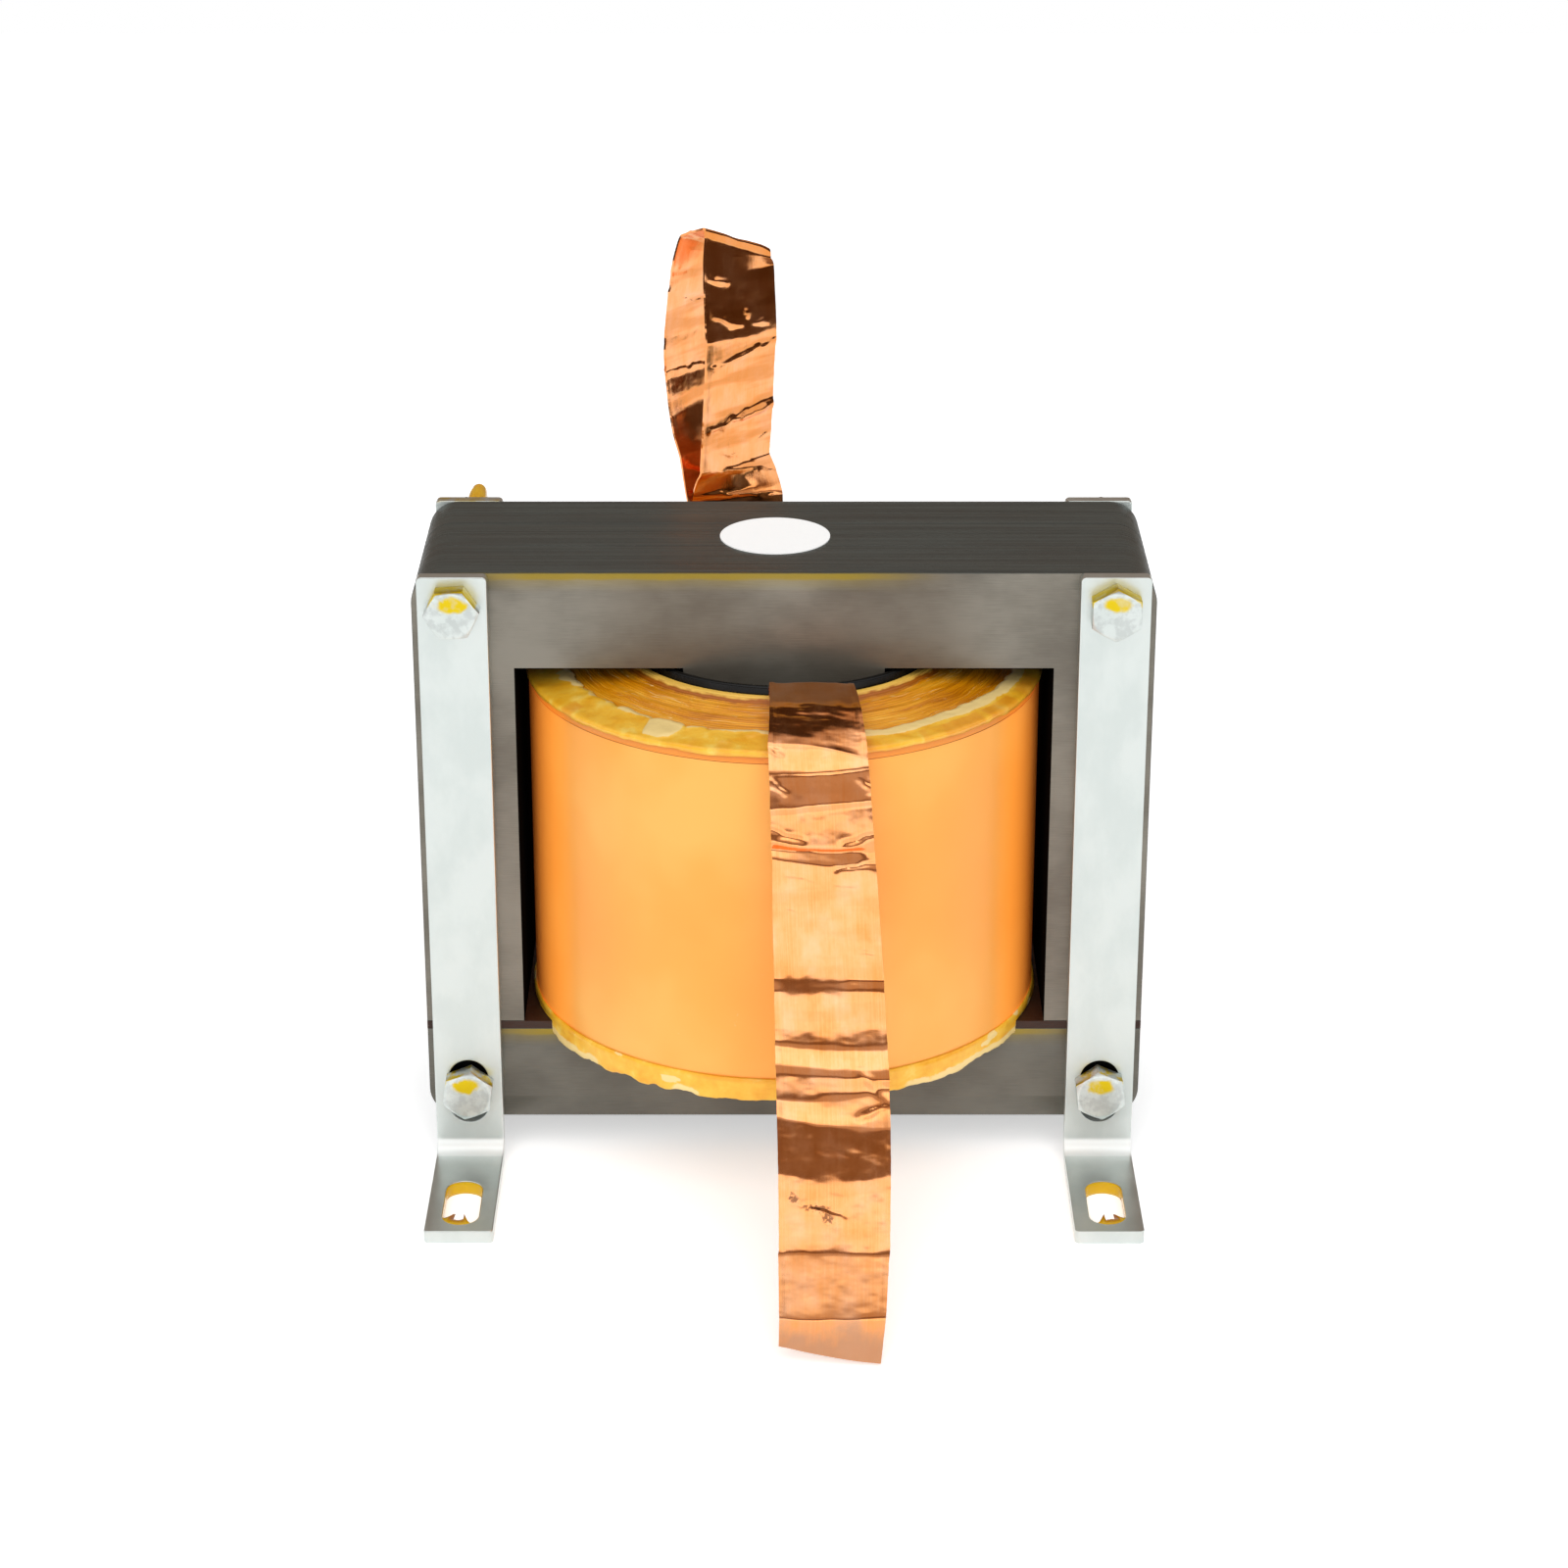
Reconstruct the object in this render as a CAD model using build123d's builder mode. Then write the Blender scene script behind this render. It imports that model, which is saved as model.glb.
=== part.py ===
from build123d import *
import os
from math import cos, radians, sin, tan

# Foil inductor on a laminated core, millimetres.
# Z is up, the front is towards -Y, and the origin is at floor level in the middle of the four feet.

# Core: a stack of E sheets over a stack of I sheets, with a spacer in the gap between them
core_width = 106.0
core_depth = 32.0
outer_leg = 14.5
centre_leg = 29.0
window_height = 56.0
yoke_height = 14.5
air_gap = 1.2
core_corner_radius = 4.5
core_lift = 6.8  # floor to the underside of the I stack

# Coil: a tube round the centre leg, the wound foil, a tape round it and two resin seals
leg_clearance = 0.2  # tube to the centre leg's corners
coil_clearance = 0.41  # resin lips to the outer legs
tube_wall = 1.0
tube_end_clearance = 0.2
winding_slope = 10.5  # degrees, how far the turns sink towards the outside
winding_end_gap = 1.7  # inner turns to the upper yoke
ridge_count = 2  # groups of turns that stand proud at the upper end
ridge_height = 0.3
tape_thickness = 0.3
seal_width = 6.7  # how far each seal reaches in over the turns
seal_thickness = 0.8
seal_lip_thickness = 0.5
top_lip_height = 0.9
seal_rise = 0.2  # how far the upper seal's underside lifts to pass over the tape's edge
bottom_lip_height = 1.7
seal_droop = 2.2  # how far the lower seal hangs below the window in front of the core and behind it
droop_clearance = 0.1  # drooping resin to the core's faces
fit_gap = 0.05  # between pieces that lie round or on one another

# Leads: the foil's two ends, each folded into a narrow strip
front_lead_width = 15.5  # at its widest
rear_lead_width = 14.4
rear_lead_height = 52.1  # from where it stands to the middle of its top fold
lead_thickness = 0.6
lead_seat_gap = 0.3  # lead to the piece that it stands on
rear_lead_inset = 1.6  # winding's outer face to the rear lead's middle, where it stands
rear_lead_reach = 1.3  # winding's outer face to the highest point of the seal under that lead

# Brackets: four bent steel strips
strip_width = 10.0
strip_thickness = 2.0
bend_radius = 2.0  # inside
foot_length = 27.0  # from the core's face to the foot's tip
strip_corner_radius = 0.7
upright_slot_length = 10.2
upright_slot_width = 5.8
slot_below_bolt = 0.5  # middle of the upright slot, under the lower bolt's axis
foot_slot_length = 13.0
foot_slot_width = 5.4
foot_slot_inset = 8.6  # foot's tip to the middle of its slot

# Bolts and nuts, M4
bolt_inset = 6.0  # side of the core to the bolts' axes
upper_bolt_inset = 4.8  # top of the core to the bolt's axis
lower_bolt_inset = 5.5  # underside of the core to the bolt's axis
bolt_diameter = 4.0
bolt_hole_diameter = 4.5
bolt_length = 45.0
hex_across_flats = 7.0
head_height = 2.8
nut_height = 3.2
head_chamfer = 0.4
thread_chamfer = 0.5

# Label and varnish
label_diameter = 16.0
label_thickness = 0.15
label_offset = -1.3  # left of the middle
drip_diameter = 2.9
drip_length = 9.0
drip_end_length = 1.6
drip_end_inset = 0.8

# Heights and radii that follow
i_top = core_lift + yoke_height
e_bottom = i_top + air_gap
window_top = e_bottom + window_height
core_top = window_top + yoke_height
window_width = (core_width - 2 * outer_leg - centre_leg) / 2
bolt_x = core_width / 2 - bolt_inset
upper_bolt_z = core_top - upper_bolt_inset
lower_bolt_z = core_lift + lower_bolt_inset
tube_inner = ((centre_leg / 2) ** 2 + (core_depth / 2) ** 2) ** 0.5 + leg_clearance
tube_outer = tube_inner + tube_wall
seal_outer = centre_leg / 2 + window_width - coil_clearance
tape_outer = seal_outer - seal_lip_thickness - fit_gap
tape_inner = tape_outer - tape_thickness
winding_outer = tape_inner - fit_gap
winding_inner = tube_outer + fit_gap
seal_inner = winding_outer - seal_width
winding_bottom = e_bottom + seal_thickness + 2 * fit_gap
winding_top = window_top - winding_end_gap
bracket_face = core_depth / 2 + strip_thickness

os.makedirs("parts", exist_ok=True)


def save(piece, label):
    """Names a finished piece and writes it."""
    piece.label = label
    export_step(piece, f"parts/{label}.step")


def end_height(radius):
    """Height of the winding's upper end at a radius: the turns sink towards the outside."""
    return winding_top - (radius - winding_inner) * tan(radians(winding_slope))


# E stack, with its two windows open at the bottom
with BuildPart() as e_stack:
    with BuildSketch(Plane.XZ):
        with Locations((0, e_bottom)):
            Rectangle(core_width, core_top - e_bottom, align=(Align.CENTER, Align.MIN))
        with Locations((-(centre_leg + window_width) / 2, e_bottom), ((centre_leg + window_width) / 2, e_bottom)):
            Rectangle(window_width, window_height, align=(Align.CENTER, Align.MIN), mode=Mode.SUBTRACT)
    extrude(amount=core_depth / 2, both=True)
    fillet(e_stack.edges().filter_by(Axis.Y).group_by(Axis.Z)[-1], core_corner_radius)
    with BuildSketch(Plane.XZ):
        with Locations((-bolt_x, upper_bolt_z), (bolt_x, upper_bolt_z)):
            Circle(bolt_hole_diameter / 2)
    extrude(amount=core_depth / 2, both=True, mode=Mode.SUBTRACT)
save(e_stack.part, "e_stack")

# I stack under it
with BuildPart() as i_stack:
    with BuildSketch(Plane.XZ):
        with Locations((0, core_lift)):
            Rectangle(core_width, yoke_height, align=(Align.CENTER, Align.MIN))
    extrude(amount=core_depth / 2, both=True)
    fillet(i_stack.edges().filter_by(Axis.Y).group_by(Axis.Z)[0], core_corner_radius)
    with BuildSketch(Plane.XZ):
        with Locations((-bolt_x, lower_bolt_z), (bolt_x, lower_bolt_z)):
            Circle(bolt_hole_diameter / 2)
    extrude(amount=core_depth / 2, both=True, mode=Mode.SUBTRACT)
save(i_stack.part, "i_stack")

# Spacer that sets the air gap, as long and as deep as the stacks
with BuildPart() as gap_spacer:
    with BuildSketch(Plane.XY.offset(i_top)):
        Rectangle(core_width, core_depth)
    extrude(amount=air_gap)
save(gap_spacer.part, "gap_spacer")

# Tube round the centre leg, standing on the spacer
with BuildPart() as coil_former:
    with BuildSketch(Plane.XY.offset(e_bottom)):
        Circle(tube_outer)
        Circle(tube_inner, mode=Mode.SUBTRACT)
    extrude(amount=window_height - tube_end_clearance)
save(coil_former.part, "coil_former")

# Wound foil: groups of turns make rings of ridges on the upper end, inside the seal
ridge_pitch = (seal_inner - winding_inner) / ridge_count
upper_end = [(seal_inner, end_height(seal_inner))]
for ridge in range(ridge_count):
    crest = seal_inner - (ridge + 0.5) * ridge_pitch
    foot = seal_inner - (ridge + 1) * ridge_pitch
    upper_end += [(crest, end_height(crest) + ridge_height), (foot, end_height(foot))]
with BuildPart() as foil_winding:
    with BuildSketch(Plane.XZ):
        with BuildLine():
            Polyline(
                (winding_inner, winding_bottom),
                (winding_outer, winding_bottom),
                (winding_outer, end_height(winding_outer)),
                *upper_end,
                close=True,
            )
        make_face()
    revolve(axis=Axis.Z)
save(foil_winding.part, "foil_winding")

# Tape round the winding, a little lower than its outer turns
tape_top = end_height(winding_outer)
with BuildPart() as outer_tape:
    with BuildSketch(Plane.XY.offset(winding_bottom)):
        Circle(tape_outer)
        Circle(tape_inner, mode=Mode.SUBTRACT)
    extrude(amount=tape_top - winding_bottom)
save(outer_tape.part, "outer_tape")

# Resin on the upper end: a sloping ring over the outer turns, with a lip down over the tape
with BuildPart() as top_seal:
    with BuildSketch(Plane.XZ):
        with BuildLine():
            under = Line(
                (seal_inner, end_height(seal_inner) + fit_gap),
                (tape_outer + fit_gap, end_height(tape_outer + fit_gap) + fit_gap + seal_rise),
            )
            lip_inside = Line(under @ 1, (tape_outer + fit_gap, tape_top - top_lip_height))
            lip_end = Line(lip_inside @ 1, (seal_outer, tape_top - top_lip_height))
            lip_outside = Line(lip_end @ 1, (seal_outer, tape_top))
            crown = Line(
                (winding_outer - seal_thickness, end_height(winding_outer) + seal_thickness + fit_gap),
                (seal_inner + seal_thickness, end_height(seal_inner) + seal_thickness),
            )
            Line(lip_outside @ 1, crown @ 0)
            Line(crown @ 1, under @ 0)
        make_face()
    revolve(axis=Axis.Z)
save(top_seal.part, "top_seal")

# Resin on the lower end, which carries the winding on the spacer and droops in front of the core and behind it
with BuildPart() as bottom_seal:
    with BuildSketch(Plane.XZ):
        with BuildLine():
            Polyline(
                (seal_inner, winding_bottom - fit_gap),
                (tape_outer + fit_gap, winding_bottom - fit_gap),
                (tape_outer + fit_gap, winding_bottom + bottom_lip_height),
                (seal_outer, winding_bottom + bottom_lip_height),
                (seal_outer, e_bottom - seal_droop + seal_thickness),
                (seal_outer - seal_thickness, e_bottom - seal_droop),
                (seal_inner + seal_droop, e_bottom - seal_droop),
                (seal_inner, e_bottom + fit_gap),
                close=True,
            )
        make_face()
    revolve(axis=Axis.Z)
    with BuildSketch(Plane.XY.offset(e_bottom + fit_gap)):
        Rectangle(core_width, core_depth + 2 * droop_clearance)
    extrude(amount=-(seal_droop + seal_thickness), mode=Mode.SUBTRACT)
save(bottom_seal.part, "bottom_seal")


def bent_strip(label, stations):
    """A strip bent through stations of (x, y, z, width, heading, drop).

    The heading turns the strip's width about Z, and the drop lowers its right-hand edge, both in degrees.
    Each section stands as square to the strip's run as they allow, and the walls between sections are ruled.
    """
    points = [Vector(*station[:3]) for station in stations]
    runs = [(after - before).normalized() for before, after in zip(points, points[1:])]
    sections = []
    with BuildPart() as strip:
        for number, (x, y, z, width, heading, drop) in enumerate(stations):
            run = (runs[max(number - 1, 0)] + runs[min(number, len(runs) - 1)]).normalized()
            turn, dip = radians(heading), radians(drop)
            across = Vector(cos(turn) * cos(dip), sin(turn) * cos(dip), -sin(dip))
            section_plane = Plane(origin=(x, y, z), x_dir=across, z_dir=run - across * run.dot(across))
            with BuildSketch(section_plane, mode=Mode.PRIVATE) as section:
                Rectangle(width, lead_thickness)
            sections.append(section.sketch)
        for near, far in zip(sections, sections[1:]):
            loft(sections=[near, far], ruled=True)
    save(strip.part, label)


# Front lead: out of the bore, over the end of the coil, and down in creases to the floor.
# Its tables give x, the way out and the width as shares of the lead's full width. The way out counts from
# the bore's wall over the end, and from the coil's rim past it. The height counts from the start in the same
# shares over the end, and past the rim it is a share of the rim's height.
start_y = -(winding_inner + lead_thickness)
start_z = winding_top + lead_seat_gap
rim_y = -(seal_outer + lead_thickness)
rim_z = end_height(tape_outer) + seal_thickness + lead_thickness
over_the_end = [
    (0.245, 0.000, 0.000, 0.761),
    (0.245, 0.006, 0.103, 0.761),
    (0.245, 0.058, 0.155, 0.768),
    (0.265, 0.297, 0.135, 0.794),
    (0.277, 0.490, 0.116, 0.813),
]
creases = [
    (0.290, -0.174, 1.032, 0.845),
    (0.297, 0.058, 1.018, 0.871),
    (0.310, 0.123, 0.998, 0.877),
    (0.316, 0.174, 0.967, 0.884),
    (0.323, 0.355, 0.948, 0.890),
    (0.329, 0.252, 0.906, 0.897),
    (0.335, 0.342, 0.872, 0.903),
    (0.348, 0.510, 0.850, 0.910),
    (0.355, 0.484, 0.816, 0.916),
    (0.381, 0.639, 0.713, 0.948),
    (0.406, 0.819, 0.606, 0.974),
    (0.413, 0.897, 0.596, 0.974),
    (0.426, 0.981, 0.493, 0.994),
    (0.432, 1.181, 0.465, 1.000),
    (0.439, 1.206, 0.420, 1.000),
    (0.439, 1.413, 0.374, 1.000),
    (0.445, 1.619, 0.296, 0.994),
    (0.445, 1.929, 0.176, 0.981),
    (0.426, 2.303, 0.082, 0.935),
    (0.400, 2.503, 0.012, 0.903),
]
front_stations = []
for x, out, rise, width in over_the_end:
    y, z = start_y - out * front_lead_width, start_z + rise * front_lead_width
    front_stations.append((x * front_lead_width, y, z, width * front_lead_width, 0, 0))
for x, out, share, width in creases:
    y, z = rim_y - out * front_lead_width, share * rim_z
    front_stations.append((x * front_lead_width, y, z, width * front_lead_width, 0, 0))
bent_strip("front_lead", front_stations)

# Rear lead: stands on the seal at the back, rises behind the core and is bent back into a loop.
# Its table gives x, the way back and the rise as shares of the lead's height, then the heading and the drop.
root_y = winding_outer - rear_lead_inset
root_z = end_height(winding_outer - rear_lead_reach) + seal_thickness + lead_seat_gap
loop = [
    (-0.138, 0.000, 0.000, 14, 0),
    (-0.138, 0.000, 0.221, 14, 0),
    (-0.144, 0.004, 0.326, 44, 0),
    (-0.134, 0.004, 0.528, 44, 0),
    (-0.131, 0.008, 0.739, 44, 0),
    (-0.132, 0.008, 0.935, 44, 22),
    (-0.152, 0.027, 1.000, 44, 22),
    (-0.196, 0.077, 0.988, 44, 22),
    (-0.242, 0.123, 0.854, 44, 0),
    (-0.261, 0.142, 0.662, 44, 0),
    (-0.248, 0.127, 0.489, 44, 0),
    (-0.217, 0.090, 0.355, 44, 0),
    (-0.161, 0.033, 0.202, 44, 0),
]
rear_stations = []
for x, back, rise, heading, drop in loop:
    y, z = root_y + back * rear_lead_height, root_z + rise * rear_lead_height
    rear_stations.append((x * rear_lead_height, y, z, rear_lead_width, heading, drop))
bent_strip("rear_lead", rear_stations)


def bracket(label, side, end):
    """One bent strip: side is -1 for left or 1 for right, end is -1 for front or 1 for rear."""
    edge_plane = Plane(origin=(side * bolt_x, 0, 0), x_dir=(0, end, 0), z_dir=(end, 0, 0))
    face_plane = Plane(origin=(side * bolt_x, end * core_depth / 2, 0), x_dir=(-end, 0, 0), z_dir=(0, end, 0))
    foot_plane = Plane(origin=(side * bolt_x, end * (core_depth / 2 + foot_length - foot_slot_inset), 0))
    inside_face = core_depth / 2
    tip = inside_face + foot_length
    with BuildPart() as strip:
        with BuildSketch(edge_plane) as outline:
            with BuildLine():
                Polyline(
                    (inside_face, core_top),
                    (inside_face, 0),
                    (tip, 0),
                    (tip, strip_thickness),
                    (bracket_face, strip_thickness),
                    (bracket_face, core_top),
                    close=True,
                )
            make_face()
            heel = outline.vertices().sort_by_distance((inside_face, 0, 0))[0]
            fillet(heel, bend_radius + strip_thickness)
            throat = outline.vertices().sort_by_distance((bracket_face, strip_thickness, 0))[0]
            fillet(throat, bend_radius)
        extrude(amount=strip_width / 2, both=True)
        fillet(strip.edges().filter_by(Axis.Y).group_by(Axis.Z)[-1], strip_corner_radius)
        fillet(strip.edges().filter_by(Axis.Z).group_by(Axis.Y)[-1 if end > 0 else 0], strip_corner_radius)
        with BuildSketch(face_plane):
            with Locations((0, upper_bolt_z)):
                Circle(bolt_hole_diameter / 2)
            with Locations((0, lower_bolt_z - slot_below_bolt)):
                SlotOverall(upright_slot_length, upright_slot_width, rotation=90)
        extrude(amount=strip_thickness, mode=Mode.SUBTRACT)
        with BuildSketch(foot_plane):
            SlotOverall(foot_slot_length, foot_slot_width, rotation=90)
        extrude(amount=strip_thickness, mode=Mode.SUBTRACT)
    save(strip.part, label)


bracket("bracket_front_left", -1, -1)
bracket("bracket_front_right", 1, -1)
bracket("bracket_rear_left", -1, 1)
bracket("bracket_rear_right", 1, 1)


def hexagon_bolt(label, seat, turn):
    """A bolt with its head on a face."""
    with BuildPart(seat) as bolt:
        with BuildSketch(seat):
            RegularPolygon(hex_across_flats / 2, 6, major_radius=False, rotation=turn)
        extrude(amount=head_height)
        chamfer(bolt.edges().group_by(Axis.Y)[0], head_chamfer)
        Cylinder(bolt_diameter / 2, bolt_length, align=(Align.CENTER, Align.CENTER, Align.MAX))
        chamfer(bolt.edges().filter_by(GeomType.CIRCLE).sort_by(Axis.Y)[-1], thread_chamfer)
    save(bolt.part, label)


def hexagon_nut(label, seat, turn):
    """A nut seated on a face."""
    with BuildPart(seat) as nut:
        with BuildSketch(seat):
            RegularPolygon(hex_across_flats / 2, 6, major_radius=False, rotation=turn)
            Circle(bolt_diameter / 2 + fit_gap, mode=Mode.SUBTRACT)
        extrude(amount=nut_height)
    save(nut.part, label)


# The heads and nuts stop at the turns at which they were tightened
fixings = [
    ("upper_left", -bolt_x, upper_bolt_z, 4, 18),
    ("upper_right", bolt_x, upper_bolt_z, 30, 41),
    ("lower_left", -bolt_x, lower_bolt_z, 22, 9),
    ("lower_right", bolt_x, lower_bolt_z, 36, 52),
]
for place, x, z, head_turn, nut_turn in fixings:
    head_seat = Plane(origin=(x, -bracket_face, z), x_dir=(1, 0, 0), z_dir=(0, -1, 0))
    nut_seat = Plane(origin=(x, bracket_face, z), x_dir=(-1, 0, 0), z_dir=(0, 1, 0))
    hexagon_bolt(f"bolt_{place}", head_seat, head_turn)
    hexagon_nut(f"nut_{place}", nut_seat, nut_turn)

# Round label on top of the core
with BuildPart() as label_disc:
    with BuildSketch(Plane.XY.offset(core_top)):
        with Locations((label_offset, 0)):
            Circle(label_diameter / 2)
    extrude(amount=label_thickness)
save(label_disc.part, "label")

# Hardened drop of varnish on the end of the upper left bolt
drip_plane = Plane(origin=(-bolt_x, bolt_length - bracket_face, upper_bolt_z), x_dir=(1, 0, 0), z_dir=(0, 1, 0))
with BuildPart(drip_plane) as varnish_drip:
    Cylinder(drip_diameter / 2, drip_length, align=(Align.CENTER, Align.CENTER, Align.MIN))
    chamfer(varnish_drip.edges().sort_by(Axis.Y)[-1], drip_end_length, drip_end_inset)
save(varnish_drip.part, "varnish_drip")
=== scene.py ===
import math

import bmesh
import bpy
import numpy as np
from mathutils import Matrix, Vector
from mathutils.geometry import tessellate_polygon


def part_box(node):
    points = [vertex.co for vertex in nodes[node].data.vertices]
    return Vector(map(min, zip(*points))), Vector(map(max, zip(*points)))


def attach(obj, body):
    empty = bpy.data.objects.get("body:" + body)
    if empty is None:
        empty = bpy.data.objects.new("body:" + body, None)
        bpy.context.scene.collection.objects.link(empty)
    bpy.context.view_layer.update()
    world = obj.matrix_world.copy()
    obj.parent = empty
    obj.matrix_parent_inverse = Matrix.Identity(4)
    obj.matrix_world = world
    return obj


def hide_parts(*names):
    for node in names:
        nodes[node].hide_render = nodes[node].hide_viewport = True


# Lengths are millimetres until a mesh is made. Z is up and the front is towards -Y, as in the CAD.
MM = 0.001

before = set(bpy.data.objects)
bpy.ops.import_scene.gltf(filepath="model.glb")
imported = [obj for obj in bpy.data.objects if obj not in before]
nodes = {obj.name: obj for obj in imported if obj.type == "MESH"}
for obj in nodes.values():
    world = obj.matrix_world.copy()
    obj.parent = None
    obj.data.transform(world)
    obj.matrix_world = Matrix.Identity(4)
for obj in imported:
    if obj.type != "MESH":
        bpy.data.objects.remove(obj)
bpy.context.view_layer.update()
scene = bpy.context.scene


def corners(node):
    """Lowest and highest corner of a CAD node, in millimetres."""
    low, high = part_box(node)
    return np.array(low) / MM, np.array(high) / MM


e_low, e_high = corners("e_stack")
i_low, i_high = corners("i_stack")
tape_low, tape_high = corners("outer_tape")
tube_low, tube_high = corners("coil_former")
winding_low, winding_high = corners("foil_winding")
bottom_seal_low, bottom_seal_high = corners("bottom_seal")
drip_low, drip_high = corners("varnish_drip")

core_front = e_low[1]
core_top = e_high[2]
tape_radius = tape_high[0]
tube_radius = tube_high[0]
tube_wall = 1.0
winding_inner = tube_radius + 0.05
winding_outer = winding_high[0]
seal_radius = corners("top_seal")[1][0]
tape_top = tape_high[2]
winding_slope = math.tan(math.radians(10.5))
winding_top = tape_top + (winding_outer - winding_inner) * winding_slope
bolt_x = 47.0
upper_bolt_z = core_top - 4.8
lower_bolt_z = i_low[2] + 5.5
head_end = corners("bolt_upper_left")[0][1]


# Camera, at the photograph's viewing angle
photo_width, focal_length = 1600.0, 3950.0  # pixels
pitch_down = 0.396
camera_data = bpy.data.cameras.new("camera")
camera_data.sensor_width = 36.0
camera_data.lens = focal_length / photo_width * camera_data.sensor_width
camera_data.clip_start = 0.01
camera_data.clip_end = 50.0
camera = bpy.data.objects.new("camera", camera_data)
camera.location = (0.0, -0.533, 0.2768)
camera.rotation_euler = (math.pi / 2 - pitch_down, 0.0, 0.0)
scene.collection.objects.link(camera)
scene.camera = camera
scene.view_settings.view_transform = "Standard"


# Numbers

def smooth_step(value, low, high):
    share = np.clip((value - low) / (high - low), 0, 1)
    return share * share * (3 - 2 * share)


def round_angles(count):
    return np.linspace(0, 2 * math.pi, count, endpoint=False)


def lattice_noise(x, y, seed, wrap=None):
    """Smooth noise from -1 to 1 with one bump for each unit, repeated in x after wrap units."""
    table = np.random.default_rng(seed).random((256, 256)) * 2 - 1
    x, y = np.broadcast_arrays(np.asarray(x, float), np.asarray(y, float))
    left, low = np.floor(x).astype(int), np.floor(y).astype(int)
    across, up = smooth_step(x - left, 0, 1), smooth_step(y - low, 0, 1)

    def at(i, j):
        if wrap:
            i = i % wrap
        return table[i % 256, j % 256]

    lower = at(left, low) * (1 - across) + at(left + 1, low) * across
    upper = at(left, low + 1) * (1 - across) + at(left + 1, low + 1) * across
    return lower * (1 - up) + upper * up


def noise(x, y, seed, octaves=3, wrap=None):
    """Lattice noise and finer, weaker layers of it, from about -1 to 1 with three."""
    total = 0
    for octave in range(octaves):
        scale = 2 ** octave
        total = total + lattice_noise(x * scale, y * scale, seed + octave, wrap and wrap * scale) / scale
    return total / 1.75


def ring_noise(share, bumps, seed, across=0):
    """Noise round a ring, with its number of bumps for a whole turn."""
    return noise(share * bumps, across, seed, wrap=bumps)


def smoothed(values, spread):
    """Gaussian smoothing down the first axis, with the spread in samples."""
    reach = int(spread * 4) + 1
    kernel = np.exp(-0.5 * (np.arange(-reach, reach + 1) / spread) ** 2)
    kernel /= kernel.sum()
    padded = np.concatenate([
        2 * values[:1] - values[reach:0:-1], values, 2 * values[-1:] - values[-2:-reach - 2:-1],
    ])
    return np.stack([np.convolve(column, kernel, "valid") for column in padded.T], axis=1)


def together(*parts):
    """Arrays as the last axis of one array, such as the x, y and z of points."""
    return np.stack(np.broadcast_arrays(*parts), axis=-1)


def side_by_side(count, *parts):
    """Parts of a profile, each a number, a row or a grid, in one row for each of the angles."""
    return np.concatenate([
        np.broadcast_to(part, (count, np.shape(part)[-1] if np.ndim(part) else 1)) for part in parts
    ], axis=1)


# Meshes

def show(name, mesh, node=None):
    """Puts a mesh on the root body, in place of a CAD node if one is named."""
    piece = bpy.data.objects.new(name, mesh)
    scene.collection.objects.link(piece)
    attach(piece, "root")
    if node:
        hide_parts(node)
    return piece


def mesh_object(name, points, faces, materials, node=None, values=None, sharp=None, face_materials=None):
    """A mesh piece from millimetre points. Its values are numbers at the points, for its material."""
    mesh = bpy.data.meshes.new(name)
    mesh.from_pydata((np.asarray(points).reshape(-1, 3) * MM).tolist(), [], faces)
    for material in materials:
        mesh.materials.append(material)
    if face_materials is not None:
        mesh.polygons.foreach_set("material_index", face_materials)
    mesh.polygons.foreach_set("use_smooth", [True] * len(mesh.polygons))
    for key, numbers in (values or {}).items():
        layer = mesh.attributes.new(key, "FLOAT", "POINT")
        layer.data.foreach_set("value", np.asarray(numbers, dtype=np.float32).ravel())
    made = bmesh.new()
    made.from_mesh(mesh)
    bmesh.ops.recalc_face_normals(made, faces=made.faces)
    made.to_mesh(mesh)
    made.free()
    if sharp:
        mesh.set_sharp_from_angle(angle=math.radians(sharp))
    show(name, mesh, node)


def grid_faces(rows, columns, loop_rows=False, loop_columns=False):
    """Quads between the points of a grid, with either direction closed on itself."""
    row = np.arange(rows if loop_rows else rows - 1)[:, None]
    column = np.arange(columns if loop_columns else columns - 1)[None, :]
    next_row, next_column = (row + 1) % rows, (column + 1) % columns
    quads = together(
        row * columns + column, row * columns + next_column,
        next_row * columns + next_column, next_row * columns + column,
    )
    return quads.reshape(-1, 4).tolist()


def ring_object(name, radius, height, material, node, values=None, sharp=None):
    """A closed ring. The height is a grid of angles by points of the profile, and the radius fits it."""
    angle = round_angles(len(height))[:, None]
    points = together(radius * np.cos(angle), radius * np.sin(angle), height)
    faces = grid_faces(*height.shape, loop_rows=True, loop_columns=True)
    mesh_object(name, points, faces, [material], node, values, sharp)


def finer_copy(node, material, width):
    """A CAD node's own mesh with its edges rounded, shown in place of it."""
    mesh = nodes[node].data.copy()
    mesh.materials.clear()
    mesh.materials.append(material)
    made = bmesh.new()
    made.from_mesh(mesh)
    bmesh.ops.remove_doubles(made, verts=made.verts, dist=1e-6)
    bmesh.ops.dissolve_limit(made, angle_limit=math.radians(1), verts=made.verts, edges=made.edges)
    for face in made.faces:
        face.smooth = True
        face.material_index = 0
    made.to_mesh(mesh)
    made.free()
    piece = show(f"{node}_piece", mesh, node)
    bevel = piece.modifiers.new("edges", "BEVEL")
    bevel.width = width * MM
    bevel.segments = 3
    bevel.limit_method = "ANGLE"
    bevel.angle_limit = math.radians(28)
    piece.modifiers.new("normals", "WEIGHTED_NORMAL").keep_sharp = True


# Materials

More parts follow.
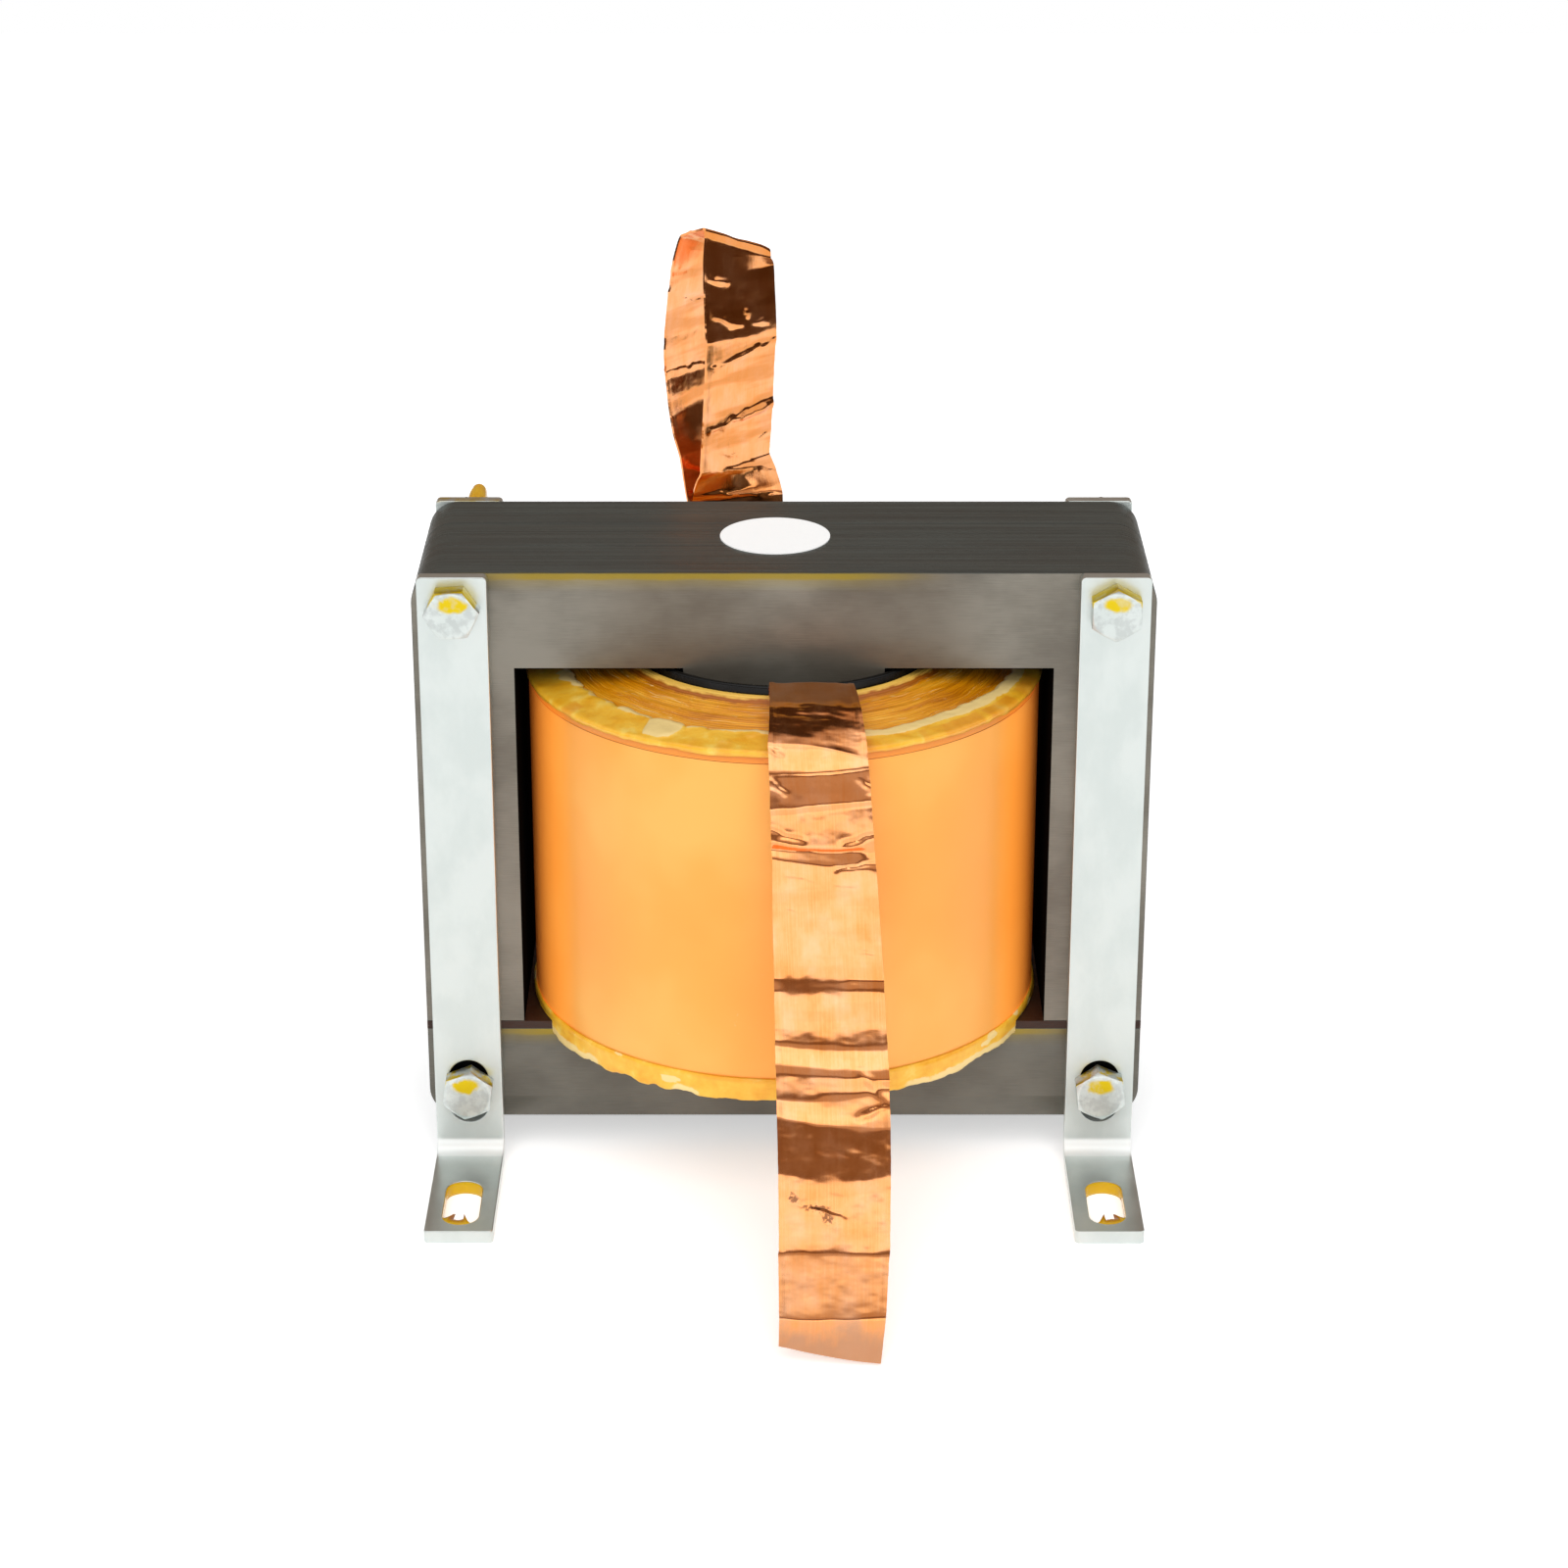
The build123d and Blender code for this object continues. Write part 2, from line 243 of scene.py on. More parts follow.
def tone(red, green, blue):
    """A colour given in display values from 0 to 255, as the shader takes it."""
    shares = [part / 255 for part in (red, green, blue)]
    return (*(part / 12.92 if part <= 0.04045 else ((part + 0.055) / 1.055) ** 2.4 for part in shares), 1)


class NodeTree:
    """Short calls that add nodes to one tree and give back what comes out of them."""

    def __init__(self, tree):
        self.tree = tree

    def feed(self, socket, value):
        """Links the socket to another one, or sets its number or colour."""
        if isinstance(value, bpy.types.NodeSocket):
            self.tree.links.new(value, socket)
        else:
            socket.default_value = value

    def node(self, kind, inputs, **settings):
        made = self.tree.nodes.new(kind)
        for key, value in settings.items():
            setattr(made, key, value)
        for key, value in inputs.items():
            self.feed(made.inputs[key], value)
        return made

    def math(self, operation, first, second=0.0):
        return self.node("ShaderNodeMath", {0: first, 1: second}, operation=operation).outputs[0]

    def add(self, first, second):
        return self.math("ADD", first, second)

    def less(self, first, second):
        return self.math("SUBTRACT", first, second)

    def times(self, first, *others):
        for other in others:
            first = self.math("MULTIPLY", first, other)
        return first

    def more(self, first, second):
        return self.math("MAXIMUM", first, second)

    def size(self, value):
        return self.math("ABSOLUTE", value)

    def step(self, value, low, high, bottom=0.0, top=1.0):
        """A smooth rise from bottom to top while the value goes from low to high."""
        inputs = {"Value": value, "From Min": low, "From Max": high, "To Min": bottom, "To Max": top}
        return self.node("ShaderNodeMapRange", inputs, interpolation_type="SMOOTHSTEP").outputs["Result"]

    def band(self, value, low, high, soft):
        """1 between low and high, with soft borders."""
        rise = self.step(value, low - soft, low + soft)
        return self.times(rise, self.step(value, high - soft, high + soft, 1.0, 0.0))

    def mix(self, factor, first, second, numbers=False):
        """The first of two colours or numbers where the factor is 0, and the second where it is 1."""
        made = self.node("ShaderNodeMix", {"Factor": factor}, data_type="FLOAT" if numbers else "RGBA")
        start = 2 if numbers else 6
        self.feed(made.inputs[start], first)
        self.feed(made.inputs[start + 1], second)
        return made.outputs[0 if numbers else 2]

    def vector(self, x, y, z=0.0):
        return self.node("ShaderNodeCombineXYZ", {0: x, 1: y, 2: z}).outputs[0]

    def vector_math(self, operation, inputs, output=0):
        return self.node("ShaderNodeVectorMath", inputs, operation=operation).outputs[output]

    def length(self, vector):
        return self.vector_math("LENGTH", {0: vector}, "Value")


class Recipe(NodeTree):
    """The nodes of one material. Its places are millimetres in the part's own frame."""

    def __init__(self, name):
        self.material = bpy.data.materials.new(name)
        self.material.use_nodes = True
        super().__init__(self.material.node_tree)
        self.shader = self.tree.nodes["Principled BSDF"]
        where = self.tree.nodes.new("ShaderNodeTexCoord").outputs["Object"]
        self.place = self.vector_math("SCALE", {0: where, "Scale": 1 / MM})
        self.x, self.y, self.z = self.node("ShaderNodeSeparateXYZ", {0: self.place}).outputs

    def noise(self, stretch, detail=3.0, rough=0.5, place=None):
        """Noise around 0.5. The stretch is in bumps per millimetre, one for all directions or three."""
        if isinstance(stretch, float):
            stretch = (stretch,) * 3
        spot = self.vector_math("MULTIPLY", {0: place or self.place, 1: stretch})
        inputs = {"Vector": spot, "Scale": 1.0, "Detail": detail, "Roughness": rough}
        return self.node("ShaderNodeTexNoise", inputs).outputs["Fac"]

    def waver(self, swing, *noise):
        """Noise around 0, with its full swing."""
        return self.times(self.less(self.noise(*noise), 0.5), swing)

    def ramp(self, value, stops):
        made = self.node("ShaderNodeValToRGB", {"Fac": value})
        spots = made.color_ramp.elements
        while len(spots) < len(stops):
            spots.new(0.5)
        for spot, (where, colour) in zip(spots, stops):
            spot.position = where
            spot.color = colour
        return made.outputs["Color"]

    def paint(self, colour, *masks):
        """Lays a colour over the last one, as strong as the product of the masks."""
        self.colour = self.mix(self.times(*masks), self.colour, colour)

    def value(self, name):
        """A number that the mesh carries at its points."""
        return self.node("ShaderNodeAttribute", {}, attribute_name=name).outputs["Fac"]

    def done(self, roughness, height=None, depth=0.05, **settings):
        """Links what varies, sets what doesn't, and takes the height's full swing as depth in millimetres."""
        names = {"coat": "Coat Weight", "coat_roughness": "Coat Roughness", "specular": "Specular IOR Level"}
        for key, value in {"Base Color": self.colour, "Roughness": roughness, **settings}.items():
            self.feed(self.shader.inputs[names.get(key, key)], value)
        if height is not None:
            inputs = {"Strength": 1.0, "Distance": depth * MM, "Height": height}
            self.feed(self.shader.inputs["Normal"], self.node("ShaderNodeBump", inputs).outputs["Normal"])
        return self.material


def glow(colour, strength):
    return {"Emission Color": colour, "Emission Strength": strength}


def sheet_face_material(name, light, dark, top, line_from, line_to):
    """The flat of a core sheet: brushed grey steel under thin varnish, with an olive line at its top."""
    r = Recipe(name)
    cloud = r.noise((0.05, 0.05, 0.07), 4, 0.6)
    brush = r.noise((0.25, 1, 9.0), 3, 0.6)
    mottle = r.add(r.times(cloud, 0.75), r.times(brush, 0.25))
    r.colour = r.mix(r.step(mottle, 0.35, 0.65), dark, light)
    # Painted reflection of the coil: a little brown on the face above it
    r.paint(tone(80, 60, 36), r.band(r.size(r.x), 6, 25, 6), r.step(r.z, 60, 70), 0.3)
    ragged = r.add(r.z, r.waver(0.7, (0.2, 1, 0.5)))
    sharp_line = r.times(r.step(ragged, top - 1.5, top - 0.7), 0.9)
    olive = r.more(sharp_line, r.step(ragged, top - 3.2, top - 0.8, 0.0, 0.35))
    r.paint(tone(146, 122, 0), olive, r.band(r.x, line_from, line_to, 9))
    # Painted shade: near black on the face round the lower bolts, deep in the brackets' slots
    slot_shade = r.step(r.size(r.less(r.size(r.x), bolt_x)), 3.6, 4.6, 1.0, 0.0)
    r.paint(tone(6, 6, 6), slot_shade, r.step(r.z, 18.2, 19.6, 1.0, 0.0))
    rough = r.step(mottle, 0.3, 0.7, 0.44, 0.34)
    return r.done(rough, brush, 0.004, Metallic=0.55, coat=0.25, coat_roughness=0.3)


def sheet_edge_material():
    """Cut edges of the stacked sheets, each a little different, under dark varnish."""
    r = Recipe("sheet_edges")
    sheets = r.noise((0.02, 2.0, 0.02), 1, 0.4)
    cloud = r.noise((0.06, 0.2, 0.06), 4, 0.6)
    lines = r.step(r.add(r.times(sheets, 0.7), r.times(cloud, 0.3)), 0.35, 0.65)
    dim, bright = ((*(part * level for part in tone(60, 64, 60)[:3]), 1) for level in (0.76, 1.3))
    r.colour = r.mix(lines, dim, bright)
    ragged = r.add(r.y, r.times(r.noise(0.3), 1.2))
    front_line = r.step(ragged, core_front + 0.5, core_front + 1.2, 1.0, 0.0)
    on_top = r.step(r.z, core_top - 0.6, core_top - 0.3)
    r.paint(tone(104, 92, 34), front_line, r.band(r.x, -44, 16, 9), on_top, 0.85)
    rough = r.step(cloud, 0.3, 0.7, 0.42, 0.55)
    return r.done(rough, lines, 0.02, Metallic=0.25, coat=0.2, coat_roughness=0.35)


def plain_material(name, noise, dark, light, rough, depth, thick=None, **settings):
    """One noise mixes two colours and two roughnesses and is the bump. Thick places may be a third."""
    r = Recipe(name)
    cloud = r.noise(*noise)
    r.colour = r.mix(cloud, dark, light)
    if thick:
        r.paint(thick, r.value("thick"))
    return r.done(r.step(cloud, 0.3, 0.7, *rough), cloud, depth, **settings)


def turns_material():
    """Ends of the turns: copper and clear film under amber varnish, streaked along the turns."""
    r = Recipe("turns")
    flat = r.vector(r.x, r.y)
    radius = r.length(flat)
    heading = r.node("ShaderNodeSeparateXYZ", {0: r.vector_math("NORMALIZE", {0: flat})}).outputs
    ring = r.add(radius, r.times(r.noise((0.09, 0.09, 0.02), 2), 3.0))

    def along_turns(fineness, around, detail):
        spot = r.vector(r.times(ring, fineness), *(r.times(part, around) for part in heading[:2]))
        return r.noise(1.0, detail, 0.6, spot)

    fine = along_turns(5.5, 3.0, 3)
    r.colour = r.ramp(r.add(r.times(along_turns(0.45, 1.6, 3), 0.6), r.times(fine, 0.4)), [
        (0.30, tone(148, 82, 0)), (0.42, tone(196, 116, 2)), (0.52, tone(222, 144, 10)),
        (0.62, tone(234, 164, 38)), (0.74, tone(246, 200, 94)),
    ])
    line = r.band(along_turns(1.5, 1.1, 1), 0.560, 0.572, 0.006)
    pale = r.times(line, r.step(along_turns(0.5, 2.0, 1), 0.44, 0.54))
    flecks = r.step(r.noise(0.9, 4, 0.75), 0.66, 0.70)
    r.paint(tone(244, 206, 140), r.more(pale, r.times(flecks, 0.55)))
    wavy = r.add(radius, r.waver(1.0, 0.5))
    for start, end, inner_tone in ((1.9, 2.4, tone(168, 92, 14)), (1.2, 1.6, tone(238, 190, 84))):
        r.paint(inner_tone, r.step(wavy, winding_inner + start, winding_inner + end, 1.0, 0.0))
    return r.done(r.step(fine, 0.35, 0.65, 0.28, 0.46), fine, 0.08, coat=0.12, coat_roughness=0.25)


def tape_material():
    """Light orange tape, a little uneven where the winding shows through, with a painted highlight low down
    left of the middle.
    """
    r = Recipe("orange_tape")
    cloud = r.noise((0.035, 0.035, 0.03), 3, 0.5)
    # Painted highlight: lighter tape low down, left of the middle, where the front light falls
    painted_highlight = r.times(r.step(r.z, 24, 50, 1.0, 0.0), r.band(r.x, -26, -3, 8))
    r.colour = r.ramp(r.add(cloud, r.times(painted_highlight, 0.10)), [
        (0.36, tone(255, 164, 60)), (0.52, tone(255, 171, 69)), (0.66, tone(255, 183, 86)),
    ])
    flecks = r.step(r.noise((1.1, 1.1, 0.9), 3, 0.8), 0.70, 0.74)
    r.paint(tone(255, 206, 140), flecks, r.step(r.z, 27, 45, 1.0, 0.25), 0.45)
    r.paint(tone(240, 148, 46), r.step(r.z, tape_top - 1.54, tape_top - 1.44))
    r.paint(tone(150, 74, 12), r.band(r.z, tape_top - 1.62, tape_top - 1.54, 0.03))
    wrinkle = r.add(r.times(cloud, 0.8), r.times(r.noise((0.6, 0.6, 0.12)), 0.2))
    # Painted light: the coil's sides near the legs glow a little, in place of light through the tape, to lift
    # the shade of the legs
    through = r.times(r.band(r.size(r.x), 31.5, 36.6, 1.6), 0.3)
    rough = r.step(cloud, 0.3, 0.7, 0.36, 0.46)
    return r.done(rough, wrinkle, 0.12, coat=0.12, coat_roughness=0.3, **glow((1.0, 0.2, 0.02, 1), through))


def resin_material():
    """Yellow resin. The mesh says where it is a pale flake and where it is thin and amber."""
    r = Recipe("yellow_resin")
    cloud = r.noise(0.35, 4, 0.6)
    r.colour = r.ramp(cloud, [
        (0.32, tone(240, 168, 28)), (0.46, tone(246, 182, 42)),
        (0.58, tone(248, 192, 58)), (0.70, tone(250, 208, 94)),
    ])
    flake = r.step(r.add(r.value("flake"), r.waver(0.7, 0.8, 4, 0.7)), 0.42, 0.62)
    r.paint(tone(245, 213, 140), flake)
    r.paint(tone(232, 140, 34), r.value("amber"), 0.5)
    rough = r.step(cloud, 0.3, 0.7, 0.28, 0.5)
    return r.done(rough, r.noise(2.2, 3, 0.6), 0.025, coat=0.3, coat_roughness=0.15)


def copper_material(name, tinned_from, spots, tarnish_and_dark_reflection):
    """Bare copper foil, rolled along its length, with a tinned end and a few dark spots."""
    r = Recipe(name)
    along, across = r.value("along"), r.value("across")
    spot_place = r.vector(across, along)
    rolled = r.noise((5.0, 0.10, 1), 3, 0.6, spot_place)
    hair = r.noise((14.0, 0.25, 1), 2, 0.6, spot_place)
    stain = r.noise((0.25, 0.14, 1), 4, 0.6, spot_place)
    r.colour = r.ramp(stain, [
        (0.30, (0.90, 0.33, 0.09, 1)), (0.50, (0.95, 0.40, 0.15, 1)), (0.70, (0.97, 0.47, 0.24, 1)),
    ])
    r.paint((0.97, 0.55, 0.30, 1), r.step(rolled, 0.4, 0.7), 0.22)
    # Dark bands across the foil: partly tarnish, partly painted dark reflection like that of the folds
    bands = r.noise((0.05, 0.30, 1), 3, 0.55, spot_place)
    r.paint((0.62, 0.20, 0.03, 1), r.step(bands, 0.46, 0.60, 0.0, tarnish_and_dark_reflection))
    film = r.add(r.less(along, tinned_from), r.times(r.less(stain, 0.5), 9.0))
    tinned = r.step(film, -1.0, 3.5)
    r.paint((0.43, 0.235, 0.15, 1), tinned, 0.72)
    warp = r.waver(3.2, (1.3, 1.3, 1), 3, 0.65, spot_place)
    dark = 0.0
    for spot_across, spot_along, size_across, size_along in spots:
        away = r.length(r.vector(
            r.times(r.less(r.add(across, warp), spot_across), 1 / size_across),
            r.times(r.less(r.add(along, warp), spot_along), 1 / size_along),
        ))
        dark = r.more(dark, r.step(away, 0.5, 1.25, 1.0, 0.0))
    r.paint((0.10, 0.035, 0.02, 1), dark, 0.75)
    rough = r.add(r.step(stain, 0.3, 0.7, 0.09, 0.16), r.times(tinned, 0.10))
    height = r.add(r.times(rolled, 0.6), r.times(hair, 0.4))
    return r.done(rough, height, 0.018, Metallic=1.0)


def zinc_material(name, mottle, stain=None):
    """Bright zinc plate, more or less mottled, with a painted highlight at the bends. A stain adds a mask of
    yellow varnish.
    """
    r = Recipe(name)
    cloud = r.noise((0.18, 0.18, 0.10), 4, 0.55)
    grain = r.noise(1.6, 3, 0.6)
    r.colour = r.mix(r.step(cloud, 0.35, 0.65), (0.61, 0.665, 0.645, 1), (0.67, 0.72, 0.70, 1))
    # Painted highlight: a pale, less metallic band round the brackets' bends
    bend_highlight = r.times(r.band(r.z, 1.9, 3.9, 0.35), r.band(r.size(r.y), 17.6, 20.1, 0.3))
    r.paint((0.28, 0.30, 0.30, 1), r.step(r.noise(0.8, 4, 0.65), 0.40, 0.62), mottle)
    if stain:
        r.paint((0.72, 0.53, 0.012, 1), stain(r), r.step(r.noise(0.5, 4, 0.6), 0.36, 0.52, 0.7, 1.0))
    r.paint((0.84, 0.87, 0.86, 1), bend_highlight)
    low = r.times(r.band(r.z, 3.0, 10.0, 2.5), r.step(r.size(r.y), 18.4, 18.8, 1.0, 0.0))
    metal = r.less(0.9, r.more(r.times(bend_highlight, 0.75), r.times(low, 0.5)))
    rough = r.step(r.add(r.times(cloud, 0.7), r.times(grain, 0.3)), 0.35, 0.65, 0.28, 0.36)
    return r.done(rough, grain, 0.012, Metallic=metal)


def head_stain(r):
    """Varnish on the upper flats of the bolt heads, and in a patch high on their end faces."""
    wobble = r.waver(0.9, 0.7)
    mask = r.step(r.add(r.value("upper"), wobble), 0.42, 0.62)
    off_axis = r.add(r.times(r.less(r.size(r.x), bolt_x), 1 / 2.1), r.times(wobble, 1.2))
    end_face = r.step(r.y, head_end + 0.03, head_end + 0.12, 1.0, 0.0)
    for bolt_z in (upper_bolt_z, lower_bolt_z):
        over = r.add(r.times(r.less(r.z, bolt_z + 1.65), 1 / 1.15), wobble)
        patch = r.step(r.length(r.vector(off_axis, over)), 0.75, 1.2, 1.0, 0.0)
        mask = r.more(mask, r.times(patch, end_face))
    return mask


def rear_left_top_edge(r):
    near = r.times(r.step(r.x, -40, -41), r.step(r.y, -core_front - 0.5, -core_front))
    wavy = r.add(r.z, r.waver(1.6, 0.5))
    return r.times(near, r.step(wavy, core_top - 0.2, core_top + 0.3, 0.0, 0.7))


def varnish_material(name, clear, dark, light, thick=None):
    """Clear amber varnish, browner where the mesh says that it is thick."""
    settings = {"IOR": 1.5, "specular": 0.25, "Transmission Weight": clear}
    return plain_material(name, (0.5,), dark, light, (0.06, 0.16), 0.05, thick, **settings)


# Core: stacked sheets

def rounded_outline(points):
    """A closed outline with rounded corners, from (x, z, radius) in order."""
    line = []
    for number, (x, z, radius) in enumerate(points):
        if not radius:
            line.append((x, z))
            continue
        here = Vector((x, z))
        before = (Vector(points[number - 1][:2]) - here).normalized()
        after = (Vector(points[(number + 1) % len(points)][:2]) - here).normalized()
        centre = here + (before + after) * radius
        for share in np.linspace(0, math.pi / 2, 11):
            spot = centre - after * radius * math.cos(share) - before * radius * math.sin(share)
            line.append((spot.x, spot.y))
    return np.array(line)


def inward(line):
    """Mitre direction at each point of a closed outline that runs clockwise, pointing into it."""
    before = line - np.roll(line, 1, axis=0)
    after = np.roll(line, -1, axis=0) - line
    normals = []
    for edge in (before, after):
        edge = edge / np.linalg.norm(edge, axis=1, keepdims=True)
        normals.append(together(edge[:, 1], -edge[:, 0]))
    total = normals[0] + normals[1]
    return total / (1 + (normals[0] * normals[1]).sum(axis=1, keepdims=True))


FLAT, CUT_EDGE, IN_WINDOW = range(3)
sheet_count, hole_sides, hole_radius = 64, 32, 2.25


def stack_object(node, line, bolt_z, seed, materials):
    """Sheets of 0.5 mm with their edges a little uneven, and two bolt holes through them."""
    rng = np.random.default_rng(seed)
    depth = e_high[1]
    pitch = 2 * depth / sheet_count
    rings = [(-depth, 0.10)]
    for sheet in range(sheet_count):
        inset = 0.015 + 0.025 * rng.random() + (0.03 if rng.random() < 0.12 else 0)
        near = -depth + sheet * pitch
        rings += [(near + 0.04, inset), (near + pitch - 0.05, inset), (near + pitch, inset + 0.06)]
    rings[-1] = (depth, 0.10)
    push = inward(line)
    points = [(x, y, z) for y, inset in rings for x, z in line + push * inset]
    faces = grid_faces(len(rings), len(line), loop_columns=True)
    x, z = ((line + np.roll(line, -1, axis=0)) / 2).T
    inside = (np.abs(x) < inner + 0.1) & (z < window_top + 0.1) & (z > e_low[2] + 0.1)
    kinds = np.where(inside, IN_WINDOW, CUT_EDGE).tolist() * (len(rings) - 1)
    hole_starts = []
    for x in (-bolt_x, bolt_x):
        start = len(points)
        hole_starts.append(start)
        for y in (-depth, depth):
            points += [
                (x + hole_radius * math.cos(a), y, bolt_z + hole_radius * math.sin(a))
                for a in round_angles(hole_sides)
            ]
        for a in range(hole_sides):
            b = (a + 1) % hole_sides
            faces.append([start + a, start + b, start + hole_sides + b, start + hole_sides + a])
            kinds.append(CUT_EDGE)
    for line_start, hole_shift in ((0, 0), ((len(rings) - 1) * len(line), hole_sides)):
        loops = [list(range(line_start, line_start + len(line)))]
        loops += [list(range(start + hole_shift, start + hole_shift + hole_sides)) for start in hole_starts]
        index = sum(loops, [])
        flat_loops = [[Vector((points[i][0], points[i][2], 0)) for i in loop] for loop in loops]
        for triangle in tessellate_polygon(flat_loops):
            faces.append([index[i] for i in triangle])
            kinds.append(FLAT)
    mesh_object(f"{node}_sheets", points, faces, materials, node, sharp=32, face_materials=kinds)


corner = 4.5
half = e_high[0]
leg, window = 14.5, 24.0
inner = half - leg
window_top = core_top - leg
e_line = rounded_outline([
    (-half, e_low[2], 0), (-half, core_top, corner), (half, core_top, corner), (half, e_low[2], 0),
    (inner, e_low[2], 0), (inner, window_top, 0), (inner - window, window_top, 0),
    (inner - window, e_low[2], 0), (window - inner, e_low[2], 0), (window - inner, window_top, 0),
    (-inner, window_top, 0), (-inner, e_low[2], 0),
])
i_line = rounded_outline([
    (-half, i_low[2], corner), (-half, i_high[2], 0), (half, i_high[2], 0), (half, i_low[2], corner),
])
e_face = sheet_face_material("e_sheet_face", tone(131, 126, 115), tone(104, 99, 89), core_top, -44, 16)
i_face = sheet_face_material("i_sheet_face", tone(104, 101, 92), tone(86, 83, 75), i_high[2], -42, 40)
edge = sheet_edge_material()
# Inside the window the edges are painted near black: painted shade of the deep window
shade = plain_material(
    "window_edges_painted_shade", ((0.02, 2.0, 0.02), 2, 0.5), tone(6, 6, 6), tone(18, 17, 15), (0.6, 0.8), 0.02,
    specular=0.0,
)
stack_object("e_stack", e_line, upper_bolt_z, 11, [e_face, edge, shade])
stack_object("i_stack", i_line, lower_bolt_z, 12, [i_face, edge, shade])

nodes["gap_spacer"].material_slots[0].material = plain_material(
    "gap_board", ((0.5, 0.5, 8.0), 4, 0.6), tone(24, 14, 9), tone(62, 34, 20), (0.5, 0.75), 0.03,
)


# Coil

def end_height(radius):
    return winding_top - (radius - winding_inner) * winding_slope


around = 360
share = round_angles(around)[:, None] / (2 * math.pi)

# Tube, with a rounded rim
rim = np.linspace(0, math.pi, 9)
tube_inner = tube_radius - tube_wall
tube_r = [tube_inner, *(tube_radius - tube_wall / 2 - 0.5 * np.cos(rim)), tube_radius]
tube_z = np.array([tube_low[2], *(tube_high[2] - 0.35 + 0.35 * np.sin(rim)), tube_low[2]])
wobble = np.minimum(0.05 * ring_noise(share, 9, 21), 0)
tube = plain_material(
    "black_tube", (0.4, 4, 0.6), tone(4, 4, 4), tone(12, 12, 12), (0.2, 0.34), 0.03, specular=0.25,
)
ring_object("former_tube", tube_r, tube_z + wobble * (tube_z > tube_low[2]), tube, "coil_former", sharp=50)

# Winding: every turn's end is its own fine ridge
turn_pitch = 0.36
steps = 4
bare_edge = winding_outer - 6.7
end_radius = np.arange(winding_inner, winding_outer, turn_pitch / steps)
end_radius[-1] = winding_outer
ridge_span = (bare_edge - winding_inner) / 3
phase = ((end_radius - winding_inner) % ridge_span) / ridge_span
ridge = 0.3 * (1 - np.abs(2 * phase - 1)) * (end_radius < bare_edge)
turn_number = (end_radius - winding_inner) / turn_pitch
comb = np.abs(turn_number % 1 - 0.5) * 2
uneven = ring_noise(share, 14, 31, np.floor(turn_number) * 3.7)
shown = smooth_step(winding_outer - 4.2 - end_radius, 0, 0.6)
bead = 0.35 * smooth_step(winding_inner + 1.9 - end_radius, 0, 1.2)
end_z = end_height(end_radius) + ridge - 0.10 * comb + (0.11 * uneven - 0.06) * shown + bead
winding_r = np.array([winding_inner, winding_outer, *end_radius[::-1]])
winding_z = side_by_side(around, winding_low[2], winding_low[2], end_z[:, ::-1])
ring_object("turns", winding_r, winding_z, turns_material(), "foil_winding", sharp=60)

# Tape in two layers, the outer one a little lower
tape_r = tape_radius - np.array([0.3, 0.06, 0, 0, 0, 0, 0.03, 0.1, 0.1, 0.12, 0.3])
tape_z = np.array([
    *(tape_low[2] + up for up in (0, 0, 0.06, 8)),
    *(tape_top - down for down in (20, 1.65, 1.55, 1.52, 0.5, 0, 0)),
])
is_step = (tape_z > tape_top - 1.8) & (tape_z < tape_top - 1.4)
tape_z = tape_z + 0.04 * ring_noise(share, 12, 41) * is_step
ring_object("tape_wrap", tape_r, tape_z, tape_material(), "outer_tape", sharp=40)

# Upper seal: resin over the outer turns' ends, ragged at its inner border, with pale flakes lifted there
resin = resin_material()
around = 900
share = round_angles(around)[:, None] / (2 * math.pi)
degrees = share * 360
flake_arcs = [
    (195, 207, 0.7), (207, 222, 0.45), (225, 236, 0.9), (236.5, 245, 1.2), (246, 251, 0.8),
    (252, 267, 0.8), (276, 296, 0.75), (294, 312, 0.9), (310, 330, 0.9), (328, 346, 1.0),
    (20, 60, 0.8), (80, 110, 0.7), (125, 165, 0.8),
]
cream_side = np.maximum(smooth_step(degrees, 284, 296), smooth_step(degrees, 70, 50))
lift = 0.8 * cream_side
for first, last, strength in flake_arcs:
    away = np.abs(degrees - (first + last) / 2)
    lift = np.maximum(lift, strength * smooth_step((last - first) / 2 + 1.5 - away, 0, 3))
border = 32.5 + 0.75 * ring_noise(share, 26, 51) + 0.25 * ring_noise(share, 160, 55)
border = border - 0.5 * lift + 1.3 * cream_side
crown_steps = 22
crown = np.linspace(0, 1, crown_steps)[None, :]
crown_r = border + crown * (seal_radius - 0.45 - border)
lumps = ring_noise(share, 70, 61, crown * 3)
shards = ring_noise(share, 200, 65, crown * 9)
big_flake = smooth_step(degrees, 235.5, 238) * smooth_step(degrees, 246, 243.5)
flake_line = 0.30 + 0.24 * cream_side + 0.5 * big_flake
flake_line = flake_line + (0.30 - 0.20 * cream_side) * ring_noise(share, 60, 71)
flake = lift * smooth_step(flake_line - crown, -0.12, 0.10)
body = 0.10 + 0.50 * smooth_step(crown, 0, 0.22) * (1 + 0.25 * lumps) * (1 - 0.25 * crown)
thick = np.clip(body + 0.03 * shards * smooth_step(crown, 0, 0.1) + 0.16 * flake, 0.05, 0.85)
thick[:, 0] = 0.02
crown_z = end_height(crown_r) + 0.06 + thick
lip = tape_top - 0.62 + 0.22 * ring_noise(share, 44, 75) + 0.10 * ring_noise(share, 180, 79)
lip = np.clip(lip, tape_top - 0.9, tape_top - 0.2)
shoulder = crown_z[:, -1:]
bed_radius, tape_side = 35.0, tape_radius + 0.06
seal_r = side_by_side(
    around, crown_r, seal_radius - np.array([0.20, 0.05, 0.03, 0.14]), tape_side, tape_side,
    tape_radius + 0.02, bed_radius,
)
